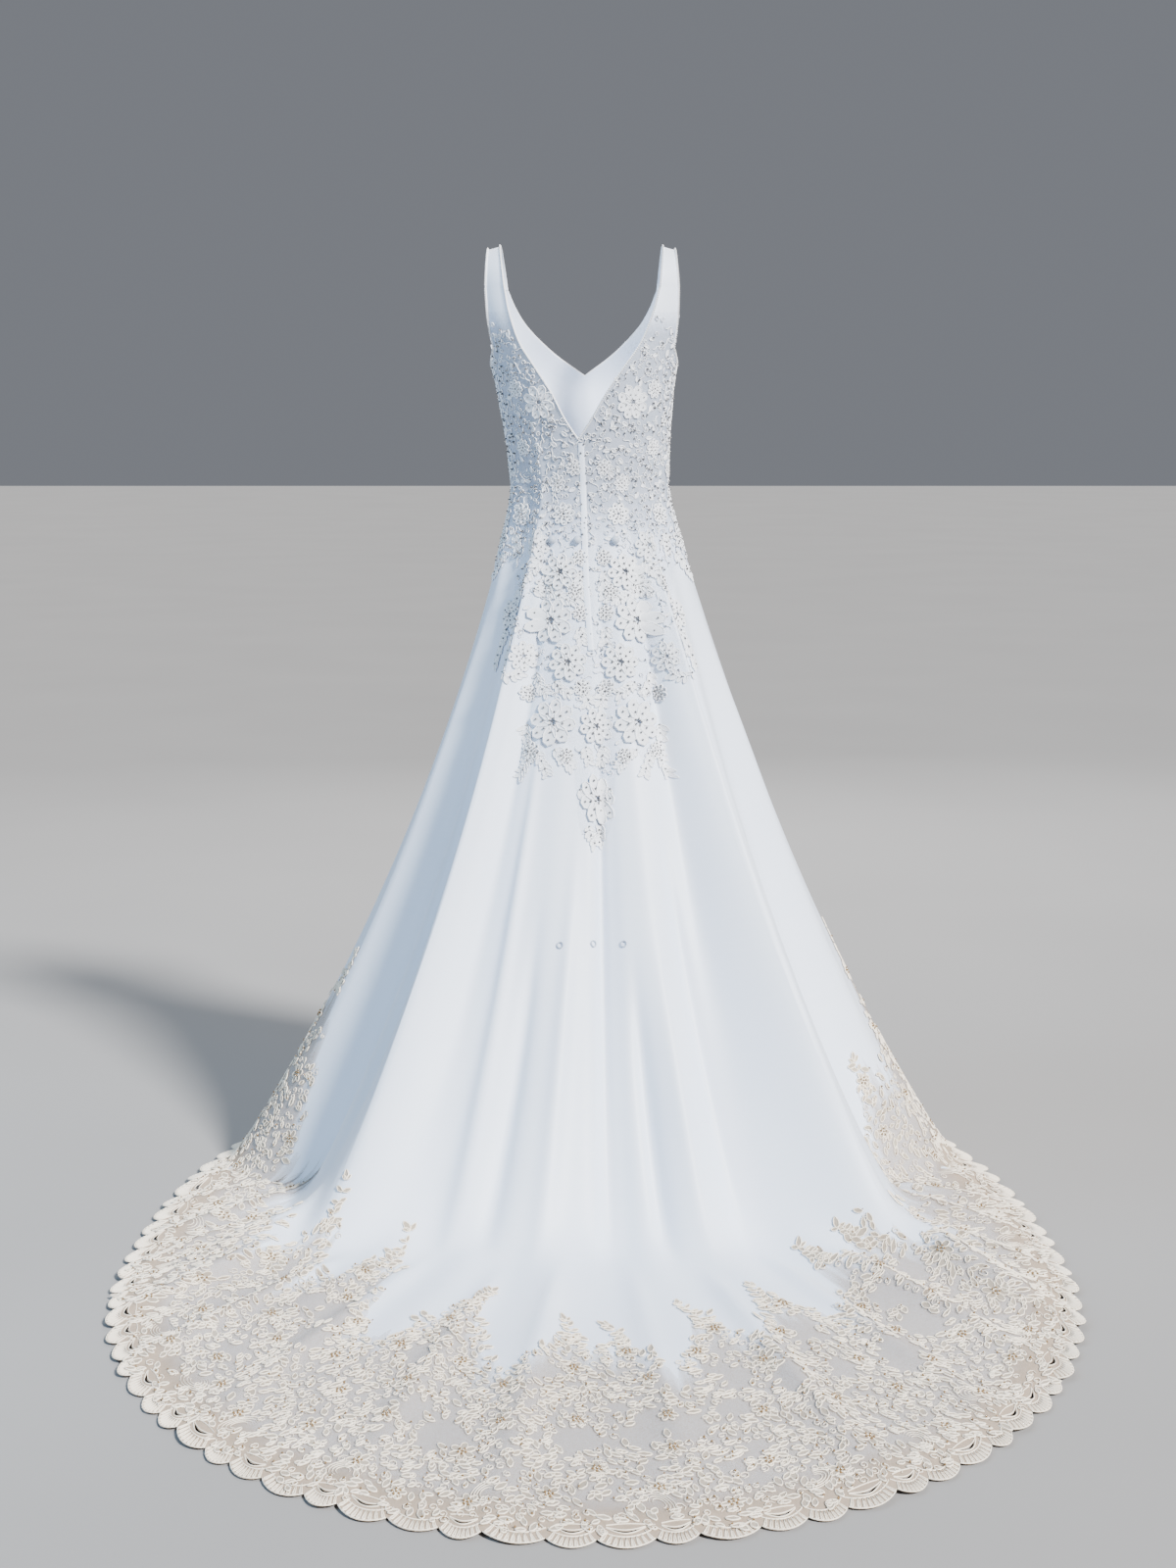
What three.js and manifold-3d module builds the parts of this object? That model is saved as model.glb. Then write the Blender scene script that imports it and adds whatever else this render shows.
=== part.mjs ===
// Wedding dress with a chapel train, standing hollow as it is worn.
// Princess cut: each panel runs from the neck or armhole to the hem with no waist seam.
// Millimetres, +Z up, the wearer faces +Y. The origin is between the shoulder straps, where the dress is held.
import * as THREE from "three";
import { mergeVertices } from "three/addons/utils/BufferGeometryUtils.js";
import Module from "manifold-3d";

const wasm = await Module();
wasm.setup();

// Driving sizes. Heights are above the floor that the train lies on.
const SHOULDER_HEIGHT = 1474;
const WAIST_HEIGHT = 1110;
const STRAP_FOOT_HEIGHT = 1410;
const NECK_BACK_HEIGHT = 1178;
const NECK_FRONT_HEIGHT = 1275;
const ZIP_END_HEIGHT = 856;
const CLOTH = 2;
const SEAM_GAP = 0.3;
const LACE = 1.2;
const FLOWER_RISE = 2;

// The hem's plan outline: widest behind the wearer, a long ellipse at the back and a fuller curve in front.
const HEM = { halfWidth: 684, widestAt: -550, back: 874, front: 1070, backPower: 2, frontPower: 2.4 };
const CLOTH_HEM_INSET = 65;
const SCALLOP_DEPTH = 22;
// Where the skirt first meets the floor, before its folds.
const CONTACT = { halfWidth: 585, back: 545, front: 505, power: 2.3 };
const FLOOR_BEND_BACK = 60;
const FLOOR_BEND_FRONT = 16;
// The skirt's flare: a straight share and a share that opens towards the floor.
const FLARE = { straight: 0.66, opening: 0.34, power: 2.4, waistEase: 0.03 };

// Angles are degrees from centre back, towards +X.
const PRINCESS_ANGLE = 40;
const SIDE_FRONT_ANGLE = 110;

// Horizontal sections of the bodice.
const TORSO = [
  { height: 1110, halfWidth: 123, back: 92, front: 100, power: 2.1 },
  { height: 1160, halfWidth: 126, back: 98, front: 110, power: 2.1 },
  { height: 1210, halfWidth: 131, back: 106, front: 124, power: 2.1 },
  { height: 1260, halfWidth: 138, back: 112, front: 138, power: 2.15 },
  { height: 1300, halfWidth: 146, back: 113, front: 134, power: 2.25 },
  { height: 1340, halfWidth: 156, back: 110, front: 121, power: 2.4 },
  { height: 1380, halfWidth: 163, back: 103, front: 107, power: 2.6 },
  { height: 1410, halfWidth: 167, back: 95, front: 95, power: 2.7 },
];
// The bust shaping of the front's princess darts.
const CUPS = { height: 1262, angleFromFront: 33, spread: 24, tall: 55, fullness: 11 };
// The whole dress sways a little to one side, as it hangs.
const SWAY = [
  { height: -1200, shift: 20 },
  { height: 0, shift: 20 },
  { height: 600, shift: 22 },
  { height: 900, shift: 19 },
  { height: 1110, shift: 13 },
  { height: 1300, shift: 4 },
  { height: 1474, shift: 0 },
];
// Half-width of the V necks, and of the armhole edges beside the straps.
const NECK_BACK = [
  { height: 1178, across: 0 },
  { height: 1210, across: 21 },
  { height: 1250, across: 43 },
  { height: 1290, across: 70 },
  { height: 1325, across: 93 },
  { height: 1370, across: 110 },
  { height: 1410, across: 119.5 },
];
const NECK_FRONT = [
  { height: 1275, across: 0 },
  { height: 1310, across: 48 },
  { height: 1350, across: 88 },
  { height: 1380, across: 107 },
  { height: 1410, across: 119.5 },
];
const ARMHOLE = [
  { height: 1320, across: 139 },
  { height: 1340, across: 143 },
  { height: 1370, across: 146.5 },
  { height: 1410, across: 148.5 },
];
// How far the centre back seam leans to the left, from the hip to the straps.
const CENTRE_LEAN = [
  { height: 760, angle: -11 },
  { height: 860, angle: -11 },
  { height: 1000, angle: -9.2 },
  { height: 1110, angle: -9 },
  { height: 1178, angle: -8.4 },
  { height: 1250, angle: -5 },
  { height: 1330, angle: -2 },
  { height: 1410, angle: 0 },
];
// The princess seam of the back, from the hip to the armhole.
const PRINCESS_SEAM = [
  { height: 900, angle: 40 },
  { height: 1110, angle: 42 },
  { height: 1200, angle: 50 },
  { height: 1260, angle: 58 },
  { height: 1320, angle: 68 },
];
// The underarm edge of the side panels.
const UNDERARM = [
  { angle: 68, height: 1320 },
  { angle: 80, height: 1298 },
  { angle: 90, height: 1290 },
  { angle: 100, height: 1294 },
  { angle: 110, height: 1306 },
];

// Folds of the skirt: how far each moves the cloth out (or in) where it meets the floor.
const FOLDS = [
  { angle: 40, spread: 9, reach: 138 },
  { angle: 67, spread: 12, reach: -105 },
  { angle: 92, spread: 13, reach: 18 },
  { angle: 27, spread: 6, reach: -26 },
  { angle: 15, spread: 6, reach: 16 },
  { angle: 5, spread: 4, reach: -20 },
  { angle: -13, spread: 8, reach: 10 },
  { angle: -26, spread: 7, reach: -16 },
  { angle: -39, spread: 10, reach: 84 },
  { angle: -63, spread: 12, reach: -95 },
  { angle: -84, spread: 10, reach: 24 },
  { angle: 128, spread: 11, reach: 20 },
  { angle: 152, spread: 10, reach: -22 },
  { angle: 178, spread: 12, reach: 16 },
  { angle: -155, spread: 10, reach: -20 },
  { angle: -130, spread: 11, reach: 22 },
];
// Rolls of cloth on the floor, which run out from the skirt's folds and die away to the hem.
const TRAIN_ROLLS = [
  { angle: 43, spread: 5, height: 46 },
  { angle: 58, spread: 6, height: 20 },
  { angle: 32, spread: 5, height: 18 },
  { angle: 19, spread: 5, height: 14 },
  { angle: 8, spread: 5, height: 10 },
  { angle: -6, spread: 5, height: 12 },
  { angle: -18, spread: 5, height: 12 },
  { angle: -29, spread: 5, height: 16 },
  { angle: -46, spread: 5, height: 42 },
  { angle: -60, spread: 6, height: 20 },
];

// Lower edge of the bodice lace, by distance from centre back and round to the sides.
const BODICE_LACE_EDGE = [
  { angle: 0, height: 572 },
  { angle: 5, height: 590 },
  { angle: 9, height: 690 },
  { angle: 14, height: 735 },
  { angle: 21, height: 682 },
  { angle: 26, height: 740 },
  { angle: 31, height: 826 },
  { angle: 38, height: 818 },
  { angle: 44, height: 822 },
  { angle: 52, height: 945 },
  { angle: 64, height: 985 },
  { angle: 78, height: 955 },
  { angle: 90, height: 985 },
  { angle: 110, height: 1000 },
  { angle: 140, height: 960 },
  { angle: 160, height: 985 },
  { angle: 180, height: 860 },
];
// The hem lace climbs the cloth in sprays: how far their tips and the dips between them lie from the edge.
const HEM_LACE = [
  { angle: 0, dip: 430, tip: 655 },
  { angle: 20, dip: 420, tip: 630 },
  { angle: 40, dip: 370, tip: 560 },
  { angle: 60, dip: 240, tip: 400 },
  { angle: 80, dip: 210, tip: 390 },
  { angle: 100, dip: 190, tip: 370 },
  { angle: 140, dip: 160, tip: 280 },
  { angle: 180, dip: 160, tip: 280 },
];
const SPRAY_SHAPE = [0.1, 0.5, 1, 0.55, 0];
const SCALLOPS_PER_COLUMN = 2;
const SCALLOP_ARC = [0.1, 0.36, 0.64, 0.9];
// A crescent slit at the root of each scallop of the train, in shares of the scallop's width and of the
// strip between the cloth's hem and the scallops.
const EYELET = { from: 0.2, to: 0.8, steps: 3, base: 0.32, bow: 0.42, width: 0.16 };

// The largest flowers of the back lace, on both sides of the zip. Lift is the height of their underside off
// the cloth, just clear of the lace.
const FLOWERS = [
  { angle: 37, height: 1235, diameter: 54, lift: 2.2 },
  { angle: 23, height: 974, diameter: 58, lift: 2.6 },
  { angle: 26, height: 900, diameter: 72, lift: 3 },
  { angle: 14, height: 838, diameter: 60, lift: 2.6 },
  { angle: 19, height: 748, diameter: 74, lift: 2.8 },
];
// Two more lie across the centre back seam, below the zip.
const CENTRE_FLOWERS = [
  { name: "lace_flower_upper", height: 742, diameter: 56, lift: 2 },
  { name: "lace_flower_point", height: 634, diameter: 78, lift: 2 },
];
const PETALS = 8;

const BUTTON = { diameter: 12, rise: 6, height: 1022, across: [-55.5, -21.5, 34.5] };
const LOOP = { diameter: 11, cord: 2, height: 428, spacing: 47, shift: -4, lift: 0.9 };
const ZIP_LAP = { width: 9, thickness: 1.2 };
const STRAP = { rise: 64, outerDrop: 5, rows: 12, columns: 3, neckTaper: 7, armTaper: 3 };

// How finely the cloth is laid out.
const BACK_COLUMNS = 8;
const SIDE_COLUMNS = 8;
const FRONT_HALF_COLUMNS = 5;
const BACK_ROWS = [1410, 1390, 1370, 1345, 1320, 1290, 1260, 1230, 1205, NECK_BACK_HEIGHT, 1145];
const SIDE_ROWS = [1320, 1290, 1260, 1230, 1205, NECK_BACK_HEIGHT, 1145];
const FRONT_ROWS = [1410, 1380, 1350, 1320, 1290, NECK_FRONT_HEIGHT, 1260, 1230, 1205, NECK_BACK_HEIGHT, 1145];
const SLOPE = { rows: 8, foot: 150, power: 1.25, spreadOver: 400 };
const FOOT_ROWS = { back: 8, side: 8, front: 3 };
const FOOT_POWER = 1.35;
const HEM_LIFT = 0.5;

const RAD = Math.PI / 180;
const mix = (a, b, t) => a + (b - a) * t;
const clamp = (v, low, high) => Math.min(high, Math.max(low, v));
const smooth = (t) => t * t * (3 - 2 * t);
const angleBetween = (a, b) => ((((a - b + 180) % 360) + 360) % 360) - 180;
const bell = (x) => 1 / (1 + x * x) ** 2;

// Reads a column of a table at a key, with a smooth curve through the rows.
function read(table, keyName, key, column) {
  const last = table.length - 1;
  const slope = (i) => {
    const a = table[Math.max(0, i - 1)];
    const b = table[Math.min(last, i + 1)];
    return (b[column] - a[column]) / (b[keyName] - a[keyName]);
  };
  if (key <= table[0][keyName]) return table[0][column];
  if (key >= table[last][keyName]) return table[last][column];
  const i = table.findIndex((row, at) => at < last && key <= table[at + 1][keyName]);
  const span = table[i + 1][keyName] - table[i][keyName];
  const t = (key - table[i][keyName]) / span;
  const s = smooth(t);
  const ease = t * (1 - t) * span * ((1 - t) * slope(i) - t * slope(i + 1));
  return mix(table[i][column], table[i + 1][column], s) + ease;
}

// Solves f(x) = 0 between low and high, where f falls or rises through zero once.
function solve(f, low, high) {
  const rising = f(high) > f(low);
  for (let step = 0; step < 40; step++) {
    const middle = (low + high) / 2;
    if (f(middle) > 0 === rising) high = middle;
    else low = middle;
  }
  return (low + high) / 2;
}

// Distance from the axis of an oval with its own depth behind and in front.
function ovalRadius(angle, { halfWidth, back, front, power }) {
  const across = Math.abs(Math.sin(angle * RAD)) / halfWidth;
  const along = Math.cos(angle * RAD);
  const deep = Math.abs(along) / (along > 0 ? back : front);
  return (across ** power + deep ** power) ** (-1 / power);
}

function torsoRadius(angle, height) {
  const section = {};
  for (const column of ["halfWidth", "back", "front", "power"])
    section[column] = read(TORSO, "height", height, column);
  const fromFront = Math.abs(angleBetween(angle, 180));
  const cupX = (fromFront - CUPS.angleFromFront) / CUPS.spread;
  const cupZ = (height - CUPS.height) / CUPS.tall;
  return ovalRadius(angle, section) + CUPS.fullness * Math.exp(-cupX * cupX - cupZ * cupZ);
}

function contactRadius(angle) {
  const folds = FOLDS.reduce(
    (sum, fold) => sum + fold.reach * bell(angleBetween(angle, fold.angle) / fold.spread),
    0,
  );
  return ovalRadius(angle, CONTACT) + folds;
}

// Distance from the axis to the tips of the scallops.
function hemRadius(angle) {
  const outside = (r) => {
    const x = Math.abs(r * Math.sin(angle * RAD)) / HEM.halfWidth;
    const y = -r * Math.cos(angle * RAD) - HEM.widestAt;
    const power = y < 0 ? HEM.backPower : HEM.frontPower;
    const deep = Math.abs(y) / (y < 0 ? HEM.back : HEM.front);
    return x ** power + deep ** power - 1;
  };
  return solve(outside, 300, 1600);
}

const flare = (drop) =>
  FLARE.straight * (Math.hypot(drop, FLARE.waistEase) - FLARE.waistEase) + FLARE.opening * drop ** FLARE.power;

const skirtRadius = (angle, drop) => {
  const waist = torsoRadius(angle, WAIST_HEIGHT);
  return waist + (contactRadius(angle) - waist) * flare(drop);
};

// How high the cloth lies off the floor in the rolls of the train.
function rollHeight(angle, radius) {
  const start = contactRadius(angle);
  const share = clamp((radius - start) / Math.max(60, hemRadius(angle) - start), 0, 1);
  const rolls = TRAIN_ROLLS.reduce(
    (sum, roll) => sum + roll.height * bell(angleBetween(angle, roll.angle) / roll.spread),
    0,
  );
  return CLOTH + SEAM_GAP + rolls * (1 - smooth(share));
}

// A point of the dress. Level is the height above the floor down to the floor line, and carries on below
// zero along the train, where the cloth bends and lies on the floor.
function dressPoint(angle, level) {
  const shift = read(SWAY, "height", level, "shift");
  const place = (radius, z) =>
    new THREE.Vector3(radius * Math.sin(angle * RAD) + shift, -radius * Math.cos(angle * RAD), z);
  if (level >= WAIST_HEIGHT) return place(torsoRadius(angle, level), level);
  const radius = skirtRadius(angle, 1 - level / WAIST_HEIGHT);
  const floor = rollHeight(angle, radius);
  const backShare = smooth(clamp((110 - Math.abs(angle)) / 60, 0, 1));
  const bend = mix(FLOOR_BEND_FRONT, FLOOR_BEND_BACK, backShare);
  return place(radius, (level + floor + Math.hypot(level - floor, bend)) / 2);
}

function dressNormal(angle, level) {
  const step = { angle: 0.4, level: 4 };
  const around = dressPoint(angle + step.angle, level).sub(dressPoint(angle - step.angle, level));
  const down = dressPoint(angle, level - step.level).sub(dressPoint(angle, level + step.level));
  return down.cross(around).normalize();
}

// The level at which the cloth of an angle reaches a distance from the axis.
function levelAtRadius(angle, radius) {
  const drop = solve((d) => skirtRadius(angle, d) - radius, 0.3, 3);
  return WAIST_HEIGHT * (1 - drop);
}

// The angle at which a bodice section is a distance across from centre back.
const angleAcross = (across, height) =>
  solve((angle) => torsoRadius(angle, height) * Math.sin(angle * RAD) - across, 0, 85);

// A grid of cloth points: columns run across the panel, rows run down it to the hem, and two more rows
// carry on to the valleys and the tips of the lace scallops.
function clothGrid({ shares, hemAngles, bodiceRows, footRows, bodiceAngle, topAt }) {
  const last = shares.length - 1;
  return shares.map((share, j) => {
    const edge = (inset) => levelAtRadius(hemAngles[j], hemRadius(hemAngles[j]) - inset);
    const clothHem = edge(CLOTH_HEM_INSET);
    const levels = bodiceRows.map((height) => Math.min(height, topAt(share)));
    for (let k = 0; k <= SLOPE.rows; k++) {
      levels.push(mix(WAIST_HEIGHT, SLOPE.foot, (k / SLOPE.rows) ** SLOPE.power));
    }
    for (let k = 1; k <= footRows; k++) {
      levels.push(mix(SLOPE.foot, clothHem, (k / footRows) ** FOOT_POWER));
    }
    levels.push(edge(SCALLOP_DEPTH), edge(0));
    return levels.map((level) => {
      const spread = smooth(clamp((WAIST_HEIGHT - level) / SLOPE.spreadOver, 0, 1));
      const angle = mix(bodiceAngle(share, level), hemAngles[j], spread);
      const side = j === 0 ? 1 : j === last ? -1 : 0;
      return gridPoint(angle + side * seamAngle(angle, level), level);
    });
  });
}

// Half of the seam's gap, as an angle.
const seamAngle = (angle, level) => {
  const onBody = level >= WAIST_HEIGHT;
  const radius = onBody ? torsoRadius(angle, level) : skirtRadius(angle, 1 - level / WAIST_HEIGHT);
  return SEAM_GAP / 2 / radius / RAD;
};

const gridPoint = (angle, level) => ({
  angle,
  level,
  point: dressPoint(angle, level),
  normal: dressNormal(angle, level),
});

// A place between grid points, on the grid's own facets.
function between(grid, column, row) {
  const j = Math.min(grid.length - 2, Math.floor(column));
  const k = Math.min(grid[0].length - 2, Math.floor(row));
  const [a, b, c, d] = [grid[j][k], grid[j + 1][k], grid[j][k + 1], grid[j + 1][k + 1]];
  const [u, v] = [column - j, row - k];
  const blend = (name) => a[name].clone().lerp(b[name], u).lerp(c[name].clone().lerp(d[name], u), v);
  const value = (name) => mix(mix(a[name], b[name], u), mix(c[name], d[name], u), v);
  return {
    point: blend("point"),
    normal: blend("normal").normalize(),
    angle: value("angle"),
    level: value("level"),
  };
}

const lifted = ({ point, normal }, lift) => point.clone().addScaledVector(normal, lift);

// The row of a grid's column at a level, and the column of a grid's row at an angle.
function rowAtLevel(grid, column, level) {
  const rows = grid[0].length - 1;
  return solve((row) => between(grid, column, row).level - level, 0, rows);
}

function locate(grid, angle, level) {
  const row = rowAtLevel(grid, (grid.length - 1) / 2, level);
  const column = solve((at) => between(grid, at, row).angle - angle, 0, grid.length - 1);
  return { column, row };
}

// The row of a grid's column at a distance along the cloth from the tips of the scallops.
function rowFromEdge(grid, column, distance) {
  let row = grid[0].length - 1;
  let left = distance;
  while (row > 0) {
    const length = between(grid, column, row).point.distanceTo(between(grid, column, row - 1).point);
    if (length >= left) return row - left / length;
    left -= length;
    row -= 1;
  }
  return 0;
}

// A closed wall between two sheets of points, with arcs beyond its last row where they are given.
// Each skew facet is split along its hollow diagonal, or along its proud one where the wall lies on another.
// Points that fall together are merged, and the empty triangles are dropped.
function wallGeometry(outer, inner, proud, arcs) {
  const positions = [];
  const triangle = (...corners) => corners.forEach((corner) => positions.push(corner.x, corner.y, corner.z));
  const quad = (a, b, c, d) => {
    triangle(a, b, c);
    triangle(a, c, d);
  };
  const columns = outer.length - 1;
  const rows = outer[0].length - 1;
  const facet = (sheet, j, k) => [sheet[j][k], sheet[j][k + 1], sheet[j + 1][k + 1], sheet[j + 1][k]];
  for (let j = 0; j < columns; j++) {
    for (let k = 0; k < rows; k++) {
      const [front, back] = [facet(outer, j, k), facet(inner, j, k)];
      if (standsProud(...front) !== proud) {
        for (const corners of [front, back]) corners.push(corners.shift());
      }
      const [a, b, c, d] = back;
      quad(...front);
      quad(a, d, c, b);
    }
    quad(outer[j][0], outer[j + 1][0], inner[j + 1][0], inner[j][0]);
    const outerRim = [outer[j][rows], ...(arcs ? arcs.outer[j] : []), outer[j + 1][rows]];
    const innerRim = [inner[j][rows], ...(arcs ? arcs.inner[j] : []), inner[j + 1][rows]];
    for (let i = 0; i + 1 < outerRim.length; i++) {
      quad(outerRim[i], innerRim[i], innerRim[i + 1], outerRim[i + 1]);
      if (i === 0) continue;
      triangle(outerRim[0], outerRim[i], outerRim[i + 1]);
      triangle(innerRim[0], innerRim[i + 1], innerRim[i]);
    }
  }
  for (let k = 0; k < rows; k++) {
    quad(outer[0][k], inner[0][k], inner[0][k + 1], outer[0][k + 1]);
    quad(outer[columns][k], outer[columns][k + 1], inner[columns][k + 1], inner[columns][k]);
  }
  return weld(positions);
}

// Whether the diagonal a-c of a facet lies outside the diagonal b-d.
function standsProud(a, b, c, d) {
  const facing = b.clone().sub(a).add(c).sub(d).cross(d.clone().sub(a).add(c).sub(b));
  return a.clone().add(c).sub(b).sub(d).dot(facing) > 0;
}

function weld(positions) {
  const loose = new THREE.BufferGeometry();
  loose.setAttribute("position", new THREE.Float32BufferAttribute(positions, 3));
  const merged = mergeVertices(loose, 1e-3);
  const corners = merged.index.array;
  const kept = [];
  for (let i = 0; i < corners.length; i += 3) {
    const [a, b, c] = corners.subarray(i, i + 3);
    if (a !== b && b !== c && a !== c) kept.push(a, b, c);
  }
  return merged.setIndex(kept);
}

// A wall of one thickness over a grid of places, from one lift above the cloth to another.
const wallOver = (places, low, high, arcs) => {
  const lift = (rows, by) => rows.map((row) => row.map((place) => lifted(place, by)));
  const edge = arcs && { outer: lift(arcs, high), inner: lift(arcs, low) };
  return wallGeometry(lift(places, high), lift(places, low), low > 0, edge);
};

// Joining and cutting of closed geometries.
function toSolid(geometry) {
  return new wasm.Manifold(
    new wasm.Mesh({
      numProp: 3,
      vertProperties: new Float32Array(geometry.getAttribute("position").array),
      triVerts: new Uint32Array(geometry.index.array),
    }),
  );
}

function fromSolid(solid) {
  const { vertProperties, numProp, numVert, triVerts } = solid.getMesh();
  const positions = [];
  for (let i = 0; i < numVert; i++) {
    positions.push(...vertProperties.subarray(i * numProp, i * numProp + 3));
  }
  const geometry = new THREE.BufferGeometry();
  geometry.setAttribute("position", new THREE.Float32BufferAttribute(positions, 3));
  return geometry.setIndex([...triVerts]);
}

// Finishes, one material to a piece.
const SATIN = { color: 0xf3f4fa, roughness: 0.5 };
const WHITE_LACE = { color: 0xf6f5f6, roughness: 0.75 };
const IVORY_LACE = { color: 0xefe7df, roughness: 0.8 };

const dress = new THREE.Group();
dress.position.z = -SHOULDER_HEIGHT;
function piece(name, geometry, finish) {
  const mesh = new THREE.Mesh(geometry, new THREE.MeshStandardMaterial({ ...finish, metalness: 0 }));
  mesh.name = name;
  dress.add(mesh);
  return mesh;
}

// Angles that share a stretch of the hem evenly, so that the scallops come out alike.
function evenHemAngles(from, to, columns) {
  const samples = 120;
  const angles = Array.from({ length: samples + 1 }, (_, i) => mix(from, to, i / samples));
  const tips = angles.map((angle) =>
    new THREE.Vector2(Math.sin(angle * RAD), -Math.cos(angle * RAD)).multiplyScalar(hemRadius(angle)),
  );
  const lengths = [0];
  for (let i = 1; i <= samples; i++) lengths.push(lengths[i - 1] + tips[i].distanceTo(tips[i - 1]));
  return Array.from({ length: columns + 1 }, (_, j) => {
    const wanted = (lengths[samples] * j) / columns;
    const i = clamp(lengths.findIndex((length) => length >= wanted), 1, samples);
    return mix(angles[i - 1], angles[i], (wanted - lengths[i - 1]) / (lengths[i] - lengths[i - 1]));
  });
}

const evenShares = (columns) => Array.from({ length: columns + 1 }, (_, j) => j / columns);

// Panels of the right half. The left half has the same cut, with its own folds.
const princessAngle = (level) => read(PRINCESS_SEAM, "height", level, "angle");
const neckAngle = (level) => {
  if (level <= NECK_BACK_HEIGHT) return 0;
  return angleAcross(read(NECK_BACK, "height", level, "across"), level);
};
const centreLean = (level) => read(CENTRE_LEAN, "height", level, "angle");
const armholeAngle = (level) => angleAcross(read(ARMHOLE, "height", level, "across"), level);
const backOuterAngle = (level) => (level > ARMHOLE[0].height ? armholeAngle(level) : princessAngle(level));

const BACK = {
  shares: evenShares(BACK_COLUMNS),
  hemAngles: evenHemAngles(0, PRINCESS_ANGLE, BACK_COLUMNS),
  bodiceRows: BACK_ROWS,
  footRows: FOOT_ROWS.back,
  bodiceAngle: (share, level, turn = 1) =>
    mix(neckAngle(level) + turn * centreLean(level), backOuterAngle(level), share),
  topAt: () => STRAP_FOOT_HEIGHT,
};
const SIDE = {
  shares: evenShares(SIDE_COLUMNS),
  hemAngles: evenHemAngles(PRINCESS_ANGLE, SIDE_FRONT_ANGLE, SIDE_COLUMNS),
  bodiceRows: SIDE_ROWS,
  footRows: FOOT_ROWS.side,
  bodiceAngle: (share, level) => mix(princessAngle(level), SIDE_FRONT_ANGLE, share),
  topAt: (share) => read(UNDERARM, "angle", mix(UNDERARM[0].angle, SIDE_FRONT_ANGLE, share), "height"),
};

const mirrored = (cut) => ({
  ...cut,
  shares: cut.shares.map((share) => 1 - share).reverse(),
  hemAngles: cut.hemAngles.map((angle) => -angle).reverse(),
  bodiceAngle: (share, level) => -cut.bodiceAngle(1 - share, level, -1),
  topAt: (share) => cut.topAt(1 - share),
});

// The front, in one piece: its columns are counted from centre front, with one at the neck edge of the strap.
const angleFromFront = (across, height) =>
  solve((angle) => torsoRadius(180 - angle, height) * Math.sin(angle * RAD) - across, 0, 85);
const footAngle = {
  neck: angleFromFront(NECK_FRONT.at(-1).across, STRAP_FOOT_HEIGHT),
  armhole: angleFromFront(ARMHOLE.at(-1).across, STRAP_FOOT_HEIGHT),
};
const underarmHeight = UNDERARM.at(-1).height;
const frontHalfAngle = (level) => {
  const share = (level - underarmHeight) / (STRAP_FOOT_HEIGHT - underarmHeight);
  return mix(180 - SIDE_FRONT_ANGLE, footAngle.armhole, clamp(share, 0, 1));
};
const neckColumn = footAngle.neck / footAngle.armhole;
const frontHalf = [...evenShares(FRONT_HALF_COLUMNS - 1).map((share) => share * neckColumn), 1];

function frontTop(fromCentre) {
  if (fromCentre >= neckColumn - 1e-6) return STRAP_FOOT_HEIGHT;
  const inside = (level) => {
    const angle = fromCentre * frontHalfAngle(level);
    const across = torsoRadius(180 - angle, level) * Math.sin(angle * RAD);
    return across - read(NECK_FRONT, "height", level, "across");
  };
  return fromCentre < 1e-6 ? NECK_FRONT_HEIGHT : solve(inside, NECK_FRONT_HEIGHT, STRAP_FOOT_HEIGHT);
}

const FRONT = {
  shares: [...frontHalf.slice(1).reverse().map((share) => -share), ...frontHalf],
  hemAngles: evenHemAngles(SIDE_FRONT_ANGLE, 360 - SIDE_FRONT_ANGLE, 2 * FRONT_HALF_COLUMNS),
  bodiceRows: FRONT_ROWS,
  footRows: FOOT_ROWS.front,
  bodiceAngle: (share, level) => 180 + share * frontHalfAngle(level),
  topAt: (share) => frontTop(Math.abs(share)),
};

const grids = {
  back_right: clothGrid(BACK),
  back_left: clothGrid(mirrored(BACK)),
  side_right: clothGrid(SIDE),
  side_left: clothGrid(mirrored(SIDE)),
  front: clothGrid(FRONT),
};

// The places of a grid at shares of its columns, between two rows that may change from column to column.
function patch(grid, split, rowCount, firstRow, lastRow) {
  const columns = (grid.length - 1) * split;
  return Array.from({ length: columns + 1 }, (_, j) => {
    const column = j / split;
    const [first, last] = [firstRow(column), lastRow(column)];
    return Array.from({ length: rowCount + 1 }, (_, k) => between(grid, column, clamp(k, first, last)));
  });
}

const clothRows = (grid) => grid[0].length - 3;

function panel(name, grid) {
  const rows = clothRows(grid);
  const places = patch(grid, 1, rows, () => 0, () => rows);
  piece(name, wallOver(places, -CLOTH, 0), SATIN);
}

const unsigned = (angle) => Math.abs(angleBetween(angle, 0));

// A flower of round petals that lies on the lace, raised in the middle.
function flower(name, { angle, height, diameter, lift }) {
  const centre = clothPlace(angle, height);
  const radius = Math.hypot(centre.point.x - read(SWAY, "height", height, "shift"), centre.point.y);
  const steep = Math.hypot(centre.normal.x, centre.normal.y);
  const at = (turn, reach) =>
    clothPlace(angle + (reach * Math.cos(turn)) / radius / RAD, height + reach * Math.sin(turn) * steep);
  const ring = (share, notch) =>
    Array.from({ length: 2 * PETALS }, (_, i) => {
      const reach = (diameter / 2) * share * (i % 2 ? notch : 1);
      return at((i * Math.PI) / PETALS, reach);
    });
  const heart = ring(0.5, 1).filter((_, i) => i % 2 === 0);
  piece(name, petalSolid(centre, heart, ring(1, 0.8), lift, lift + FLOWER_RISE), WHITE_LACE);
}

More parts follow.
